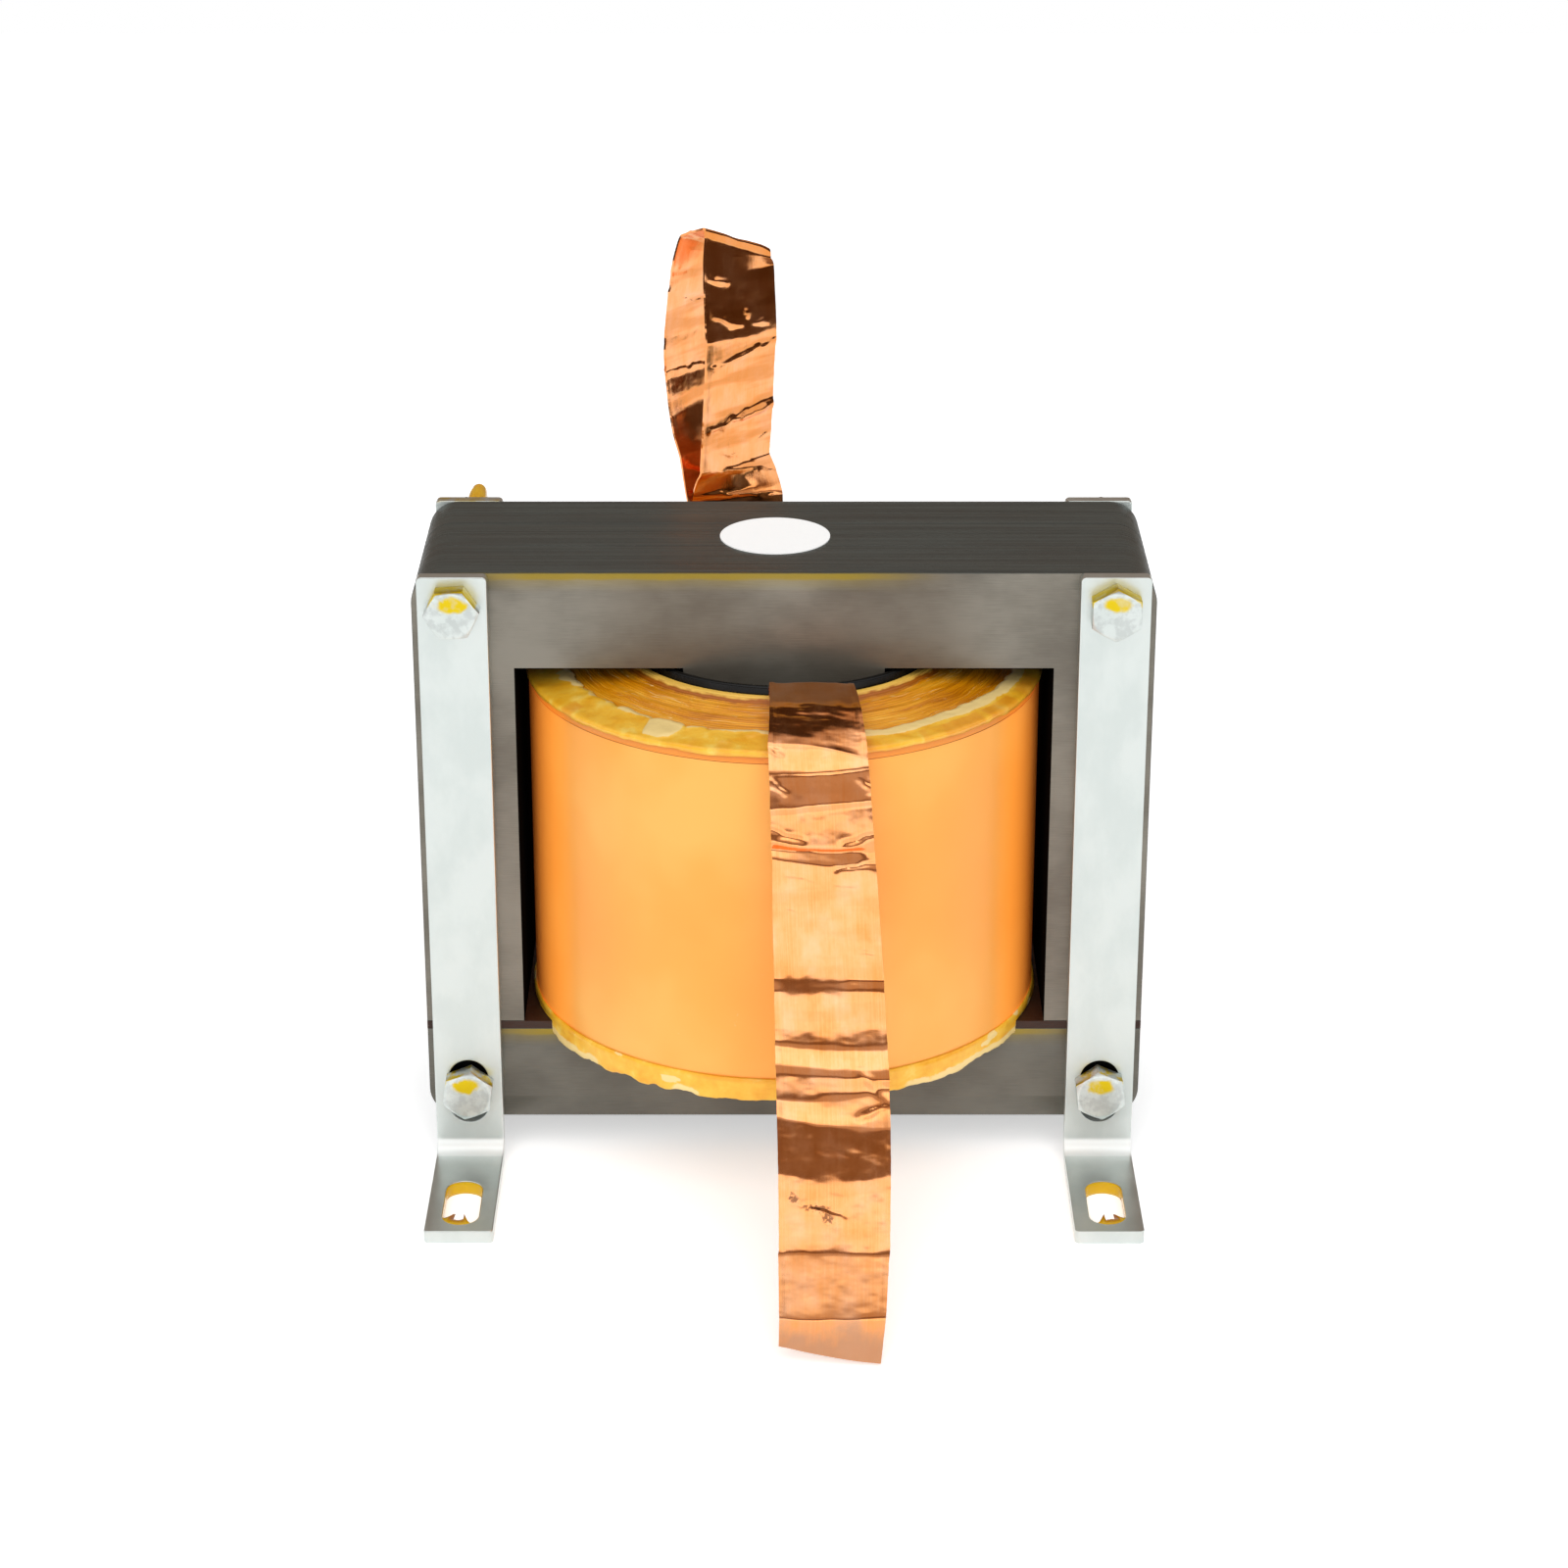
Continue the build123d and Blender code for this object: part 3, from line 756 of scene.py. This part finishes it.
seal_z = side_by_side(
    around, crown_z, shoulder - 0.12, shoulder - 0.35, (shoulder + lip) / 2, lip + 0.12, lip,
    tape_top - 0.02, end_height(tape_radius) + 0.1, end_height(bed_radius) + 0.05,
)
flakes, amber = np.zeros_like(seal_r), np.zeros_like(seal_r)
flakes[:, :crown_steps] = flake * 1.15
amber[:, 14:-3] = smooth_step(ring_noise(share, 40, 83), 0.12, 0.35)
ring_object("upper_resin", seal_r, seal_z, resin, "top_seal", {"flake": flakes, "amber": amber})

# Lower seal: a ragged band round the tape, hanging below the window before and behind the core
lip = bottom_seal_high[2] - 1.7 + 0.5 * ring_noise(share, 30, 91) + 0.12 * ring_noise(share, 150, 95)
lip = np.clip(lip, tape_low[2] + 0.5, bottom_seal_high[2])
band_steps = 14
down = np.linspace(0, 1, band_steps)[None, :]
ragged = 0.9 * smooth_step(ring_noise(share, 34, 101), -0.5, 0.6) + 0.35 * ring_noise(share, 120, 105)
hang = bottom_seal_low[2] + np.clip(ragged, 0, 1.2)
wall_r = seal_radius - 0.12 + 0.10 * ring_noise(share, 80, 111, down * 3)
wall_r = np.minimum(wall_r - 0.30 * (1 - smooth_step(down, 0, 0.15)), seal_radius)
heel_r = seal_radius - np.array([0.5, 1.6, 3.4])
low_r = side_by_side(around, wall_r, heel_r, 33.0, 30.6, 30.6, 36.0, tape_side)
under_tape = tape_low[2] - 0.05
low_z = side_by_side(
    around, lip + down * (hang - lip), hang, hang + 0.05, np.maximum(hang, 21.0), 22.0, 22.62,
    under_tape, under_tape, under_tape,
)
# What lies over the core stays on the board, and the rest hangs
off_core = np.abs(low_r * np.sin(share * 2 * math.pi)) - e_high[1]
low_z = np.where(off_core > 0.12, low_z, np.maximum(low_z, e_low[2] + 0.06))
pale = smooth_step(down, 0.45, 0.9) * smooth_step(ring_noise(share, 26, 121), -0.35, 0.25)
pale = np.maximum(pale, smooth_step(ring_noise(share, 50, 125, down * 2), 0.25, 0.5))
flakes, amber = np.zeros_like(low_r), np.zeros_like(low_r)
flakes[:, :band_steps] = pale
amber[:, :3] = 0.5 * smooth_step(ring_noise(share, 24, 131), 0, 0.4)
ring_object("lower_resin", low_r, low_z, resin, "bottom_seal", {"flake": flakes, "amber": amber})


# Leads

foil_thickness, strip_columns, row_spacing = 0.36, 41, 0.2
soft_fold, broad_fold = 1.1, 4.0


def foil_strip(node, stations, seed, fold, hem_height, pinches, cut, material):
    """Creased foil through stations of (x, y, z, width, heading, drop, slant, bow).

    Slant and bow carry each crease along the strip at its edges and in its middle. A pinch is a short dent
    from (along, across) to (along, across), with its depth and its width. The cut shortens the left corner of
    the end.
    """
    table = np.array(stations, float)
    centre = table[:, :3]
    legs = np.linalg.norm(np.diff(centre, axis=0), axis=1)
    reach = np.concatenate([[0], np.cumsum(legs)])
    total = reach[-1]
    # The middle line goes on straight at both ends, so that it can be smoothed up to them
    step, spare = 0.05, 12.0
    first = (centre[1] - centre[0]) / legs[0]
    last = (centre[-1] - centre[-2]) / legs[-1]
    known = [-spare, *reach, total + spare]
    spots = np.array([centre[0] - first * spare, *centre, centre[-1] + last * spare])
    fine = np.arange(-spare, total + spare, step)
    line = together(*(np.interp(fine, known, spots[:, axis]) for axis in range(3)))
    crisp = smoothed(line, fold / step)
    soft = smoothed(line, soft_fold / step)
    broad = np.gradient(smoothed(line, broad_fold / step), step, axis=0)

    def along(values, where):
        return together(*(np.interp(where, fine, values[:, axis]) for axis in range(3)))

    rows = int(total / row_spacing)
    t = np.linspace(0, total, rows)[:, None]
    a = np.linspace(-1, 1, strip_columns)[None, :]
    t = t - cut * ((1 - a) / 2) ** 1.4 * smooth_step(t, total - 12, total)
    width, heading, dip = (np.interp(t, reach, table[:, i]) for i in (3, 4, 5))
    number = np.arange(len(table))
    path_t = np.empty_like(t)
    for column, share in enumerate(a[0]):
        carried = table[:, 6] * share + table[:, 7] * (1 - share * share)
        carried = carried + 0.30 * noise(share * 1.8 + 5, number * 3.7, seed, 2)
        carried[:2] = 0
        met = np.maximum.accumulate(reach + carried + 0.001 * number)
        path_t[:, column] = np.interp(t[:, column], met, reach)
    softness = smooth_step(noise(t / 7, a * 0.9, seed + 41, 2), -0.05, 0.5)[..., None]
    place = along(crisp, path_t) * (1 - softness) + along(soft, path_t) * softness
    place = place + (t - path_t)[..., None] * along(broad, t)
    heading, dip = np.radians(heading), np.radians(dip)
    side = together(np.cos(heading) * np.cos(dip), np.sin(heading) * np.cos(dip), -np.sin(dip))
    normal = np.cross(along(np.gradient(soft, step, axis=0), path_t), side)
    normal /= np.linalg.norm(normal, axis=-1, keepdims=True)
    width = width * (1 + 0.006 * noise(t / 1.3, 0.5, seed + 3))
    off_middle = a * width / 2
    height = hem_height * smooth_step(np.abs(off_middle), width / 2 - 0.80, width / 2 - 0.62)
    swells = [(0.12, 8, 1.1, 5), (0.05, 2.8, 2.6, 9), (0.018, 0.8, 7, 13), (0.010, 16, 26, 17)]
    for swing, length, fineness, shift in swells:
        height = height + swing * noise(t / length, a * fineness, seed + shift, 2)
    for from_t, from_a, to_t, to_a, deep, wide in pinches:
        stretch_t, stretch_a = to_t - from_t, to_a - from_a

        def uneven(size_across, size_along, shift):
            return noise(off_middle / size_across, t / size_along + from_t, seed + shift, 2)

        off_t = t + 0.55 * uneven(1.5, 1.5, 21) - from_t
        off_a = off_middle + 0.6 * uneven(1.6, 1.4, 25) - from_a
        share = (off_t * stretch_t + off_a * stretch_a) / (stretch_t ** 2 + stretch_a ** 2)
        share = np.clip(share, 0, 1)
        away = np.hypot(off_t - share * stretch_t, off_a - share * stretch_a)
        dent = np.exp(-(away / (wide * (1 + 0.5 * uneven(1.2, 1.2, 29)))) ** 2)
        height = height - deep * dent * (0.45 + 0.55 * np.sin(math.pi * np.clip(share, 0.1, 0.9)))
    middle = place + side * off_middle[..., None]
    front = middle + normal * (height + foil_thickness / 2)[..., None]
    back = middle + normal * (height - foil_thickness / 2)[..., None]
    around = 2 * strip_columns
    faces = grid_faces(rows, around, loop_columns=True)
    for start in (0, (rows - 1) * around):
        faces += [
            [start + c, start + c + 1, start + around - 2 - c, start + around - 1 - c]
            for c in range(strip_columns - 1)
        ]

    def both_sides(first, second):
        return np.concatenate([first, second[:, ::-1]], axis=1)

    values = {"along": np.concatenate([t, t], axis=1), "across": both_sides(off_middle, off_middle)}
    mesh_object(f"{node}_foil", both_sides(front, back), faces, [material], node, values, sharp=50)


front_stations = [
    (3.8, -23.44, 77.1, 11.8, 0, 0), (3.8, -23.54, 78.7, 11.8, 0, 0), (3.8, -24.34, 79.5, 11.8, 0, 0),
    (4.1, -28.04, 79.2, 12.3, 1, 0), (4.3, -31.04, 78.9, 12.6, 1.4, 0), (4.5, -36, 77.82, 13.1, 1.6, 0),
    (4.6, -39.65, 76.82, 13.5, 2, -0.2), (4.6, -41.72, 76.06, 13.6, 1.4, -0.8),
    (4.8, -43.67, 74.25, 13.7, -0.4, 0.4), (4.8, -43.73, 73.84, 13.7, -0.6, 0.2),
    (5, -44.99, 71.9, 13.8, -0.3, 0), (5, -46.17, 69.93, 13.9, -0.7, 0),
    (5.1, -46.04, 69.29, 13.9, -0.7, 0), (5.2, -46.86, 67.01, 14, -0.2, 0.6),
    (5.3, -47.62, 65.15, 14.1, 0.1, 0.8), (5.3, -47.02, 63.86, 14.1, 0.1, 0.3),
    (5.5, -48.12, 62.44, 14.2, 0.6, 0.4), (5.8, -50.42, 54.64, 14.7, 0, 0),
    (6.2, -52.72, 46.82, 15.1, 0.2, 0.2), (6.2, -53.69, 45.49, 15.1, 0.1, -0.2),
    (6.4, -54.99, 40.74, 15.3, 0, 0.2), (6.5, -55.8, 38.74, 15.4, 0.2, 0.3),
    (6.5, -56.23, 38.06, 15.4, 0.2, 0.3), (6.6, -58.31, 36.25, 15.5, 0.3, 0.2),
    (6.7, -59.1, 35.15, 15.5, 0.4, 0), (6.7, -59.7, 33.2, 15.5, -0.5, 0.4),
    (6.7, -59.94, 32.72, 15.5, -0.5, 0.7), (6.8, -62.78, 29.98, 15.5, 0.9, 0.4),
    (6.9, -65.98, 23.83, 15.4, 0.2, 0.8), (6.9, -69.89, 14.14, 15.2, 0.1, 0),
    (6.8, -70.21, 13.55, 15.2, 0.1, 0), (6.6, -76, 7.12, 14.5, 0, 0.3), (6.2, -76.91, 0.6, 14, 0, 0),
]
# It has no heading and no drop
front_stations = [(*station[:4], 0, 0, *station[4:]) for station in front_stations]
dark_spots = [(-5.6, 83.4, 0.7, 0.6), (-2.6, 84.6, 2.2, 0.35), (-1.0, 86.0, 0.9, 0.7)]
front_copper = copper_material("front_copper", 100.0, dark_spots, 0.15)
foil_strip("front_lead", front_stations, 201, 0.16, 0.11, [
    (31.7, -6.8, 33.2, -3, 0.3, 0.35), (32, 6.8, 34, 2.5, 0.3, 0.35), (37.5, 1.5, 36.9, 6.9, 0.22, 0.3),
    (24.8, -6.4, 26.6, -5, 0.22, 0.4), (24.6, 5.6, 26.2, 6.6, 0.22, 0.4), (72.5, 3.4, 71, 7.2, 0.28, 0.45),
    (65.8, 4, 70.2, 7.4, -0.2, 0.6), (84.2, -3, 85.7, 1.6, 0.1, 0.25), (38.4, -5.5, 40, 4.5, 0.05, 0.4),
    (11.4, -6.2, 13.4, 3.5, 0.05, 0.7), (19.6, -6.4, 20.6, -4.8, 0.2, 0.4), (21, -4, 21.6, 5, 0.04, 0.3),
    (75.2, -5, 78.8, 6, 0.05, 0.8), (42.5, -6, 43.4, -3.8, 0.05, 0.3), (48.6, 4, 49.4, 6.6, 0.05, 0.3),
], 2.6, front_copper)

rear_width, rear_height = 14.4, 52.1
root_y = winding_outer - 1.6
root_z = end_height(winding_outer - 1.3) + 0.8 + 0.3
# Shares of the height, then heading, drop, slant and bow
loop = [
    (-0.138, 0, 0, 14, 0, 0, 0), (-0.138, 0, 0.221, 14, 0, 0.4, 0), (-0.144, 0.004, 0.326, 44, 0, 0.5, 0.2),
    (-0.133, -0.006, 0.528, 44, 0, 0.3, 0.3), (-0.123, -0.02, 0.715, 44, 0, -0.6, 0),
    (-0.131, 0.018, 0.9, 44, 0, 0.2, 0), (-0.133, 0.045, 0.965, 44, 22, 0, 0),
    (-0.133, 0.042, 1, 44, 22, 0, 0), (-0.212, 0.076, 0.975, 48, 20, 0, 0),
    (-0.232, 0.082, 0.93, 50, 8, 0, 0), (-0.25, 0.1, 0.87, 54, 0, 0.5, 0),
    (-0.257, 0.101, 0.835, 55, 0, 0.7, 0), (-0.264, 0.115, 0.775, 56, 0, 0.2, 0),
    (-0.268, 0.116, 0.74, 56, 0, -0.3, 0), (-0.27, 0.121, 0.712, 56, 0, 0, 0.2),
    (-0.272, 0.111, 0.672, 56, 0, 0.2, 0.2), (-0.271, 0.116, 0.64, 56, 0, 0.3, 0.2),
    (-0.268, 0.125, 0.58, 56, 0, 0.3, 0), (-0.262, 0.114, 0.52, 56, 0, 0.6, 0),
    (-0.258, 0.116, 0.48, 56, 0, -0.4, 0), (-0.245, 0.098, 0.42, 54, 0, 0.3, 0),
    (-0.217, 0.08, 0.355, 50, 0, 0, 0), (-0.19, 0.06, 0.29, 40, 0, 0, 0),
    (-0.161, 0.033, 0.202, 28, 0, 0, 0),
]
rear_stations = [
    (x * rear_height, root_y + back * rear_height, root_z + rise * rear_height, rear_width, *turn)
    for x, back, rise, *turn in loop
]
rear_copper = copper_material("rear_copper", 500.0, [], 0.55)
foil_strip("rear_lead", rear_stations, 301, 0.35, 0.05, [
    (23.8, -5.5, 25.6, 7, 0.4, 0.6), (24.4, 0.5, 25.2, 7, 0.4, 0.6), (33.6, -5.5, 35.6, 6.5, 0.3, 0.7),
    (19.3, -3, 17.8, 2, 0.1, 0.2), (17.8, 2, 14.9, 4.5, 0.1, 0.2), (19.8, 4.5, 21, 6.8, 0.16, 0.4),
    (12.5, -7, 12, 7, 0.3, 0.4), (16.5, -7, 15.5, 7, 0.25, 0.5), (42, -6, 39.4, -0.5, 0.2, 0.6),
    (47.4, -6.6, 46.2, -2.5, 0.22, 0.5), (41.2, 0.8, 40.9, 1.6, 0.2, 0.5),
    (39.3, 2.5, 38.9, 5.5, 0.14, 0.5), (64.4, -7, 69.2, 7, 0.24, 0.5), (77, -7, 78.4, 7, 0.2, 0.4),
    (55.4, -7, 58, 7, 0.24, 0.45), (61, -7.2, 61.8, -3, 0.2, 0.4),
], 0.0, rear_copper)


# Brackets, bolts and nuts
plain_zinc = zinc_material("zinc", 0.0)
stained_zinc = zinc_material("zinc_stained", 0.0, rear_left_top_edge)
head_zinc = zinc_material("zinc_heads", 0.3, head_stain)
nut_zinc = zinc_material("zinc_nuts", 0.3)
for end in ("front_left", "front_right", "rear_left", "rear_right"):
    finer_copy(f"bracket_{end}", stained_zinc if end == "rear_left" else plain_zinc, 0.28)

half_flats, face_radius, head_height = 3.5, 3.35, 2.8
thread_pitch, thread_radius, thread_depth, thread_length = 0.7, 1.98, 0.34, 8.0
bolt_sides = 96


def fastener(node, turn, nut, material):
    """A hexagon bolt with its thread, or a nut, from rings of points round its axis."""
    low, high = corners(node)
    middle_x, middle_z = (low[0] + high[0]) / 2, (low[2] + high[2]) / 2
    length = high[1] - low[1]
    from_flat = round_angles(bolt_sides)[:, None]
    theta = math.radians(turn) + from_flat
    hexagon = half_flats / np.cos((from_flat + 1e-9) % (math.pi / 3) - math.pi / 6)
    chamfer = (hexagon - face_radius) * math.tan(math.radians(30))
    if nut:
        rings = [
            (2.02, 0), (face_radius, 0), (hexagon - 0.04, chamfer), (hexagon, chamfer + 0.1),
            (hexagon, length - chamfer - 0.1), (hexagon - 0.04, length - chamfer), (face_radius, length),
            (2.35, length), (2.02, length - 0.33),
        ]
    else:
        rings = [
            (0.3, 0), (1.6, 0), (3.1, 0), (face_radius, 0.02), (hexagon - 0.04, chamfer),
            (hexagon, chamfer + 0.1), (hexagon, head_height - 0.08), (hexagon - 0.08, head_height),
            (thread_radius, head_height),
        ]
        for level in np.arange(length - thread_length, length - 0.5, thread_pitch / 8):
            tooth = np.abs((level / thread_pitch + theta / (2 * math.pi)) % 1 * 2 - 1)
            rings.append((thread_radius - thread_depth + thread_depth * tooth, level))
        rings.append((1.45, length))
    radius, level = (side_by_side(bolt_sides, *parts) for parts in zip(*rings))
    up = radius * np.sin(theta)
    points = together(middle_x + radius * np.cos(theta), low[1] + level, middle_z + up)
    faces = grid_faces(*radius.shape, loop_rows=True, loop_columns=nut)
    if not nut:
        count = len(rings)
        faces += [list(range(start, bolt_sides * count, count)) for start in (0, count - 1)]
    # Only the flats of a bolt's head carry the varnish that ran down on it
    flats, upper = slice(4, 8), np.zeros_like(up)
    upper[:, flats] = smooth_step(up[:, flats], 0.0, 2.0) * (0.95 if middle_z > core_top / 2 else 0.5)
    mesh_object(f"{node}_piece", points, faces, [material], node, {"upper": upper}, sharp=28)


for place, head_turn, nut_turn in (
    ("upper_left", 4, 42), ("upper_right", 30, 19), ("lower_left", 22, 51), ("lower_right", 36, 8),
):
    fastener(f"bolt_{place}", head_turn, False, head_zinc)
    fastener(f"nut_{place}", nut_turn, True, nut_zinc)

# Varnish in the front feet's slots: a thin ragged skin on the wall, thick at the front end
slot_varnish = varnish_material("slot_varnish", 0.1, tone(206, 160, 2), tone(224, 186, 14), tone(172, 104, 8))
slot_half, slot_radius, slot_y, slot_sides = 3.8, 2.7, -34.4, 160
slot_turn = round_angles(slot_sides)[:, None]
share = slot_turn / (2 * math.pi)
slot_cos, slot_sin = np.cos(slot_turn), np.sin(slot_turn)
wall_x = slot_radius * slot_cos
wall_y = slot_y + slot_radius * slot_sin + np.where(slot_sin >= 0, slot_half, -slot_half)
# At the front end the varnish runs in along the slot more than across it
into_x = -slot_cos * np.where(slot_sin < 0, 0.4, 1)
level = np.array([0.03, 0.03, 0.5, 1.2, 1.75, 1.95, 1.95, 1.0])
swell = np.array([0, 0.45, 0.6, 0.85, 1.0, 0.8, 0, 0])
for side, side_name, seed in ((-1, "left", 401), (1, "right", 411)):
    turn = slot_turn if side < 0 else (3 * math.pi - slot_turn) % (2 * math.pi)
    puddle = smooth_step(turn, 3.3, 3.7) * smooth_step(turn, 5.35, 5.1)
    spikes = 2.6 * np.exp(-((turn - 3.65) / 0.13) ** 2) + 1.9 * np.exp(-((turn - 5.08) / 0.12) ** 2)
    ragged = 0.9 * np.abs(ring_noise(share, 24, seed + 3)) ** 0.7
    skin = 0.05 + 0.04 * ring_noise(share, 10, seed) + puddle * (1.5 + ragged) + spikes
    skin = np.clip(skin + 0.35 * smooth_step(slot_sin, 0.5, 1.0), 0.03, 4.6)
    depth_in = np.where(swell > 0, skin * swell, 0.01)
    points = together(side * bolt_x + wall_x + into_x * depth_in, wall_y - slot_sin * depth_in, level)
    faces = grid_faces(*depth_in.shape, loop_rows=True, loop_columns=True)
    thick = smooth_step(depth_in, 0.3, 1.6)
    mesh_object(f"slot_varnish_{side_name}", points, faces, [slot_varnish], values={"thick": thick})

# Drop of varnish on a bolt's end, with a round cap
drip_middle = (drip_low + drip_high) / 2
drip_radius = (drip_high[0] - drip_low[0]) / 2
drip_sides, cap_from = 48, 0.82
cap_shares = cap_from + (1 - cap_from) * np.sin(np.linspace(0.12, math.pi / 2, 12))
share = np.concatenate([[0.0], np.linspace(0.02, cap_from, 14), cap_shares])[:, None]
size = 0.86 + 0.14 * np.sin(np.minimum(share, cap_from) * 3.4)
size = size * np.sqrt(1 - np.clip((share - cap_from) / (1 - cap_from), 0, 1) ** 2)
size[0] *= 0.9
angle = round_angles(drip_sides)
reach = np.minimum(drip_radius * size * (1 + 0.04 * np.sin(3 * angle + 4 * share)), drip_radius)
points = together(
    drip_middle[0] + reach * np.cos(angle), drip_low[1] + share * (drip_high[1] - drip_low[1]),
    drip_middle[2] + reach * np.sin(angle),
)
faces = grid_faces(*reach.shape, loop_columns=True)
faces += [list(range(start, start + drip_sides)) for start in (0, reach.size - drip_sides)]
drop_varnish = varnish_material("drop_varnish", 0.3, tone(238, 172, 8), tone(250, 206, 40))
mesh_object("varnish_drop", points, faces, [drop_varnish], "varnish_drip")

# Label, left blank. Its paper glows a little: painted light that keeps it white
nodes["label"].material_slots[0].material = plain_material(
    "paper", (3.0, 4, 0.7), tone(238, 238, 236), tone(250, 250, 249), (0.45, 0.6), 0.01,
    **glow((1, 1, 1, 1), 0.25),
)


# Floor and light
floor = Recipe("floor")
cloud = floor.noise(0.002, 2)
floor.colour = floor.mix(cloud, (0.89, 0.89, 0.89, 1), (0.91, 0.91, 0.91, 1))
rough = floor.step(cloud, 0.3, 0.7, 0.85, 0.95)
floor_material = floor.done(rough, specular=0.1, **glow((1, 1, 1, 1), 0.48))
reach = 0.8  # metres
floor_mesh = bpy.data.meshes.new("floor")
floor_mesh.from_pydata(
    [(-reach, -reach, 0), (reach, -reach, 0), (reach, reach, 0), (-reach, reach, 0)], [], [(0, 1, 2, 3)],
)
floor_mesh.materials.append(floor_material)
floor_object = bpy.data.objects.new("floor", floor_mesh)
scene.collection.objects.link(floor_object)

world = bpy.data.worlds.new("world")
world.use_nodes = True
scene.world = world
sky = NodeTree(world.node_tree)
background = sky.tree.nodes["Background"].inputs
direction = sky.tree.nodes.new("ShaderNodeTexCoord").outputs["Generated"]
x, y, z = sky.node("ShaderNodeSeparateXYZ", {0: direction}).outputs
elevation = sky.math("DEGREES", sky.math("ARCSINE", z))
azimuth = sky.size(sky.math("DEGREES", sky.math("ARCTAN2", x, sky.times(y, -1.0))))

# Soft lamps, each between two elevations and two azimuths off the front on both sides, which only the
# glossy rays see: (level, lowest, highest, nearest, farthest)
lamps = [
    (1.50, -20, 19, -20, 60), (0.25, 19, 34, -20, 60), (0.58, 34, 50, -20, 60), (1.10, 50, 58, -20, 60),
    (1.70, 58, 100, -20, 60), (0.08, -20, 17, 60, 118), (1.10, 17, 100, 60, 118), (0.28, -20, 38, 118, 200),
    (0.05, 38, 53, 118, 200), (0.60, 53, 60, 118, 200), (1.45, 60, 100, 118, 200),
]
border = 3.2
pattern = 0.0
for lamp_level, low, high, near, far in lamps:
    lamp = sky.times(sky.band(elevation, low, high, border), sky.band(azimuth, near, far, border))
    pattern = sky.add(pattern, sky.times(lamp, lamp_level))
ray = sky.tree.nodes.new("ShaderNodeLightPath").outputs
soft_light = sky.mix(ray["Is Glossy Ray"], 0.38, pattern, numbers=True)
sky.feed(background["Strength"], sky.mix(ray["Is Camera Ray"], soft_light, 1.0, numbers=True))
# The dim parts of the pattern are warm
white_share = sky.mix(ray["Is Glossy Ray"], 1.0, pattern, numbers=True)
sky.feed(background["Color"], sky.mix(white_share, (1.0, 0.58, 0.34, 1), (1, 1, 1, 1)))

key_data = bpy.data.lights.new("key", "SUN")
key_data.energy = 2.0
key_data.angle = math.radians(50)
key = bpy.data.objects.new("key", key_data)
key.rotation_euler = (math.radians(48), 0, 0)
key.visible_glossy = False
scene.collection.objects.link(key)
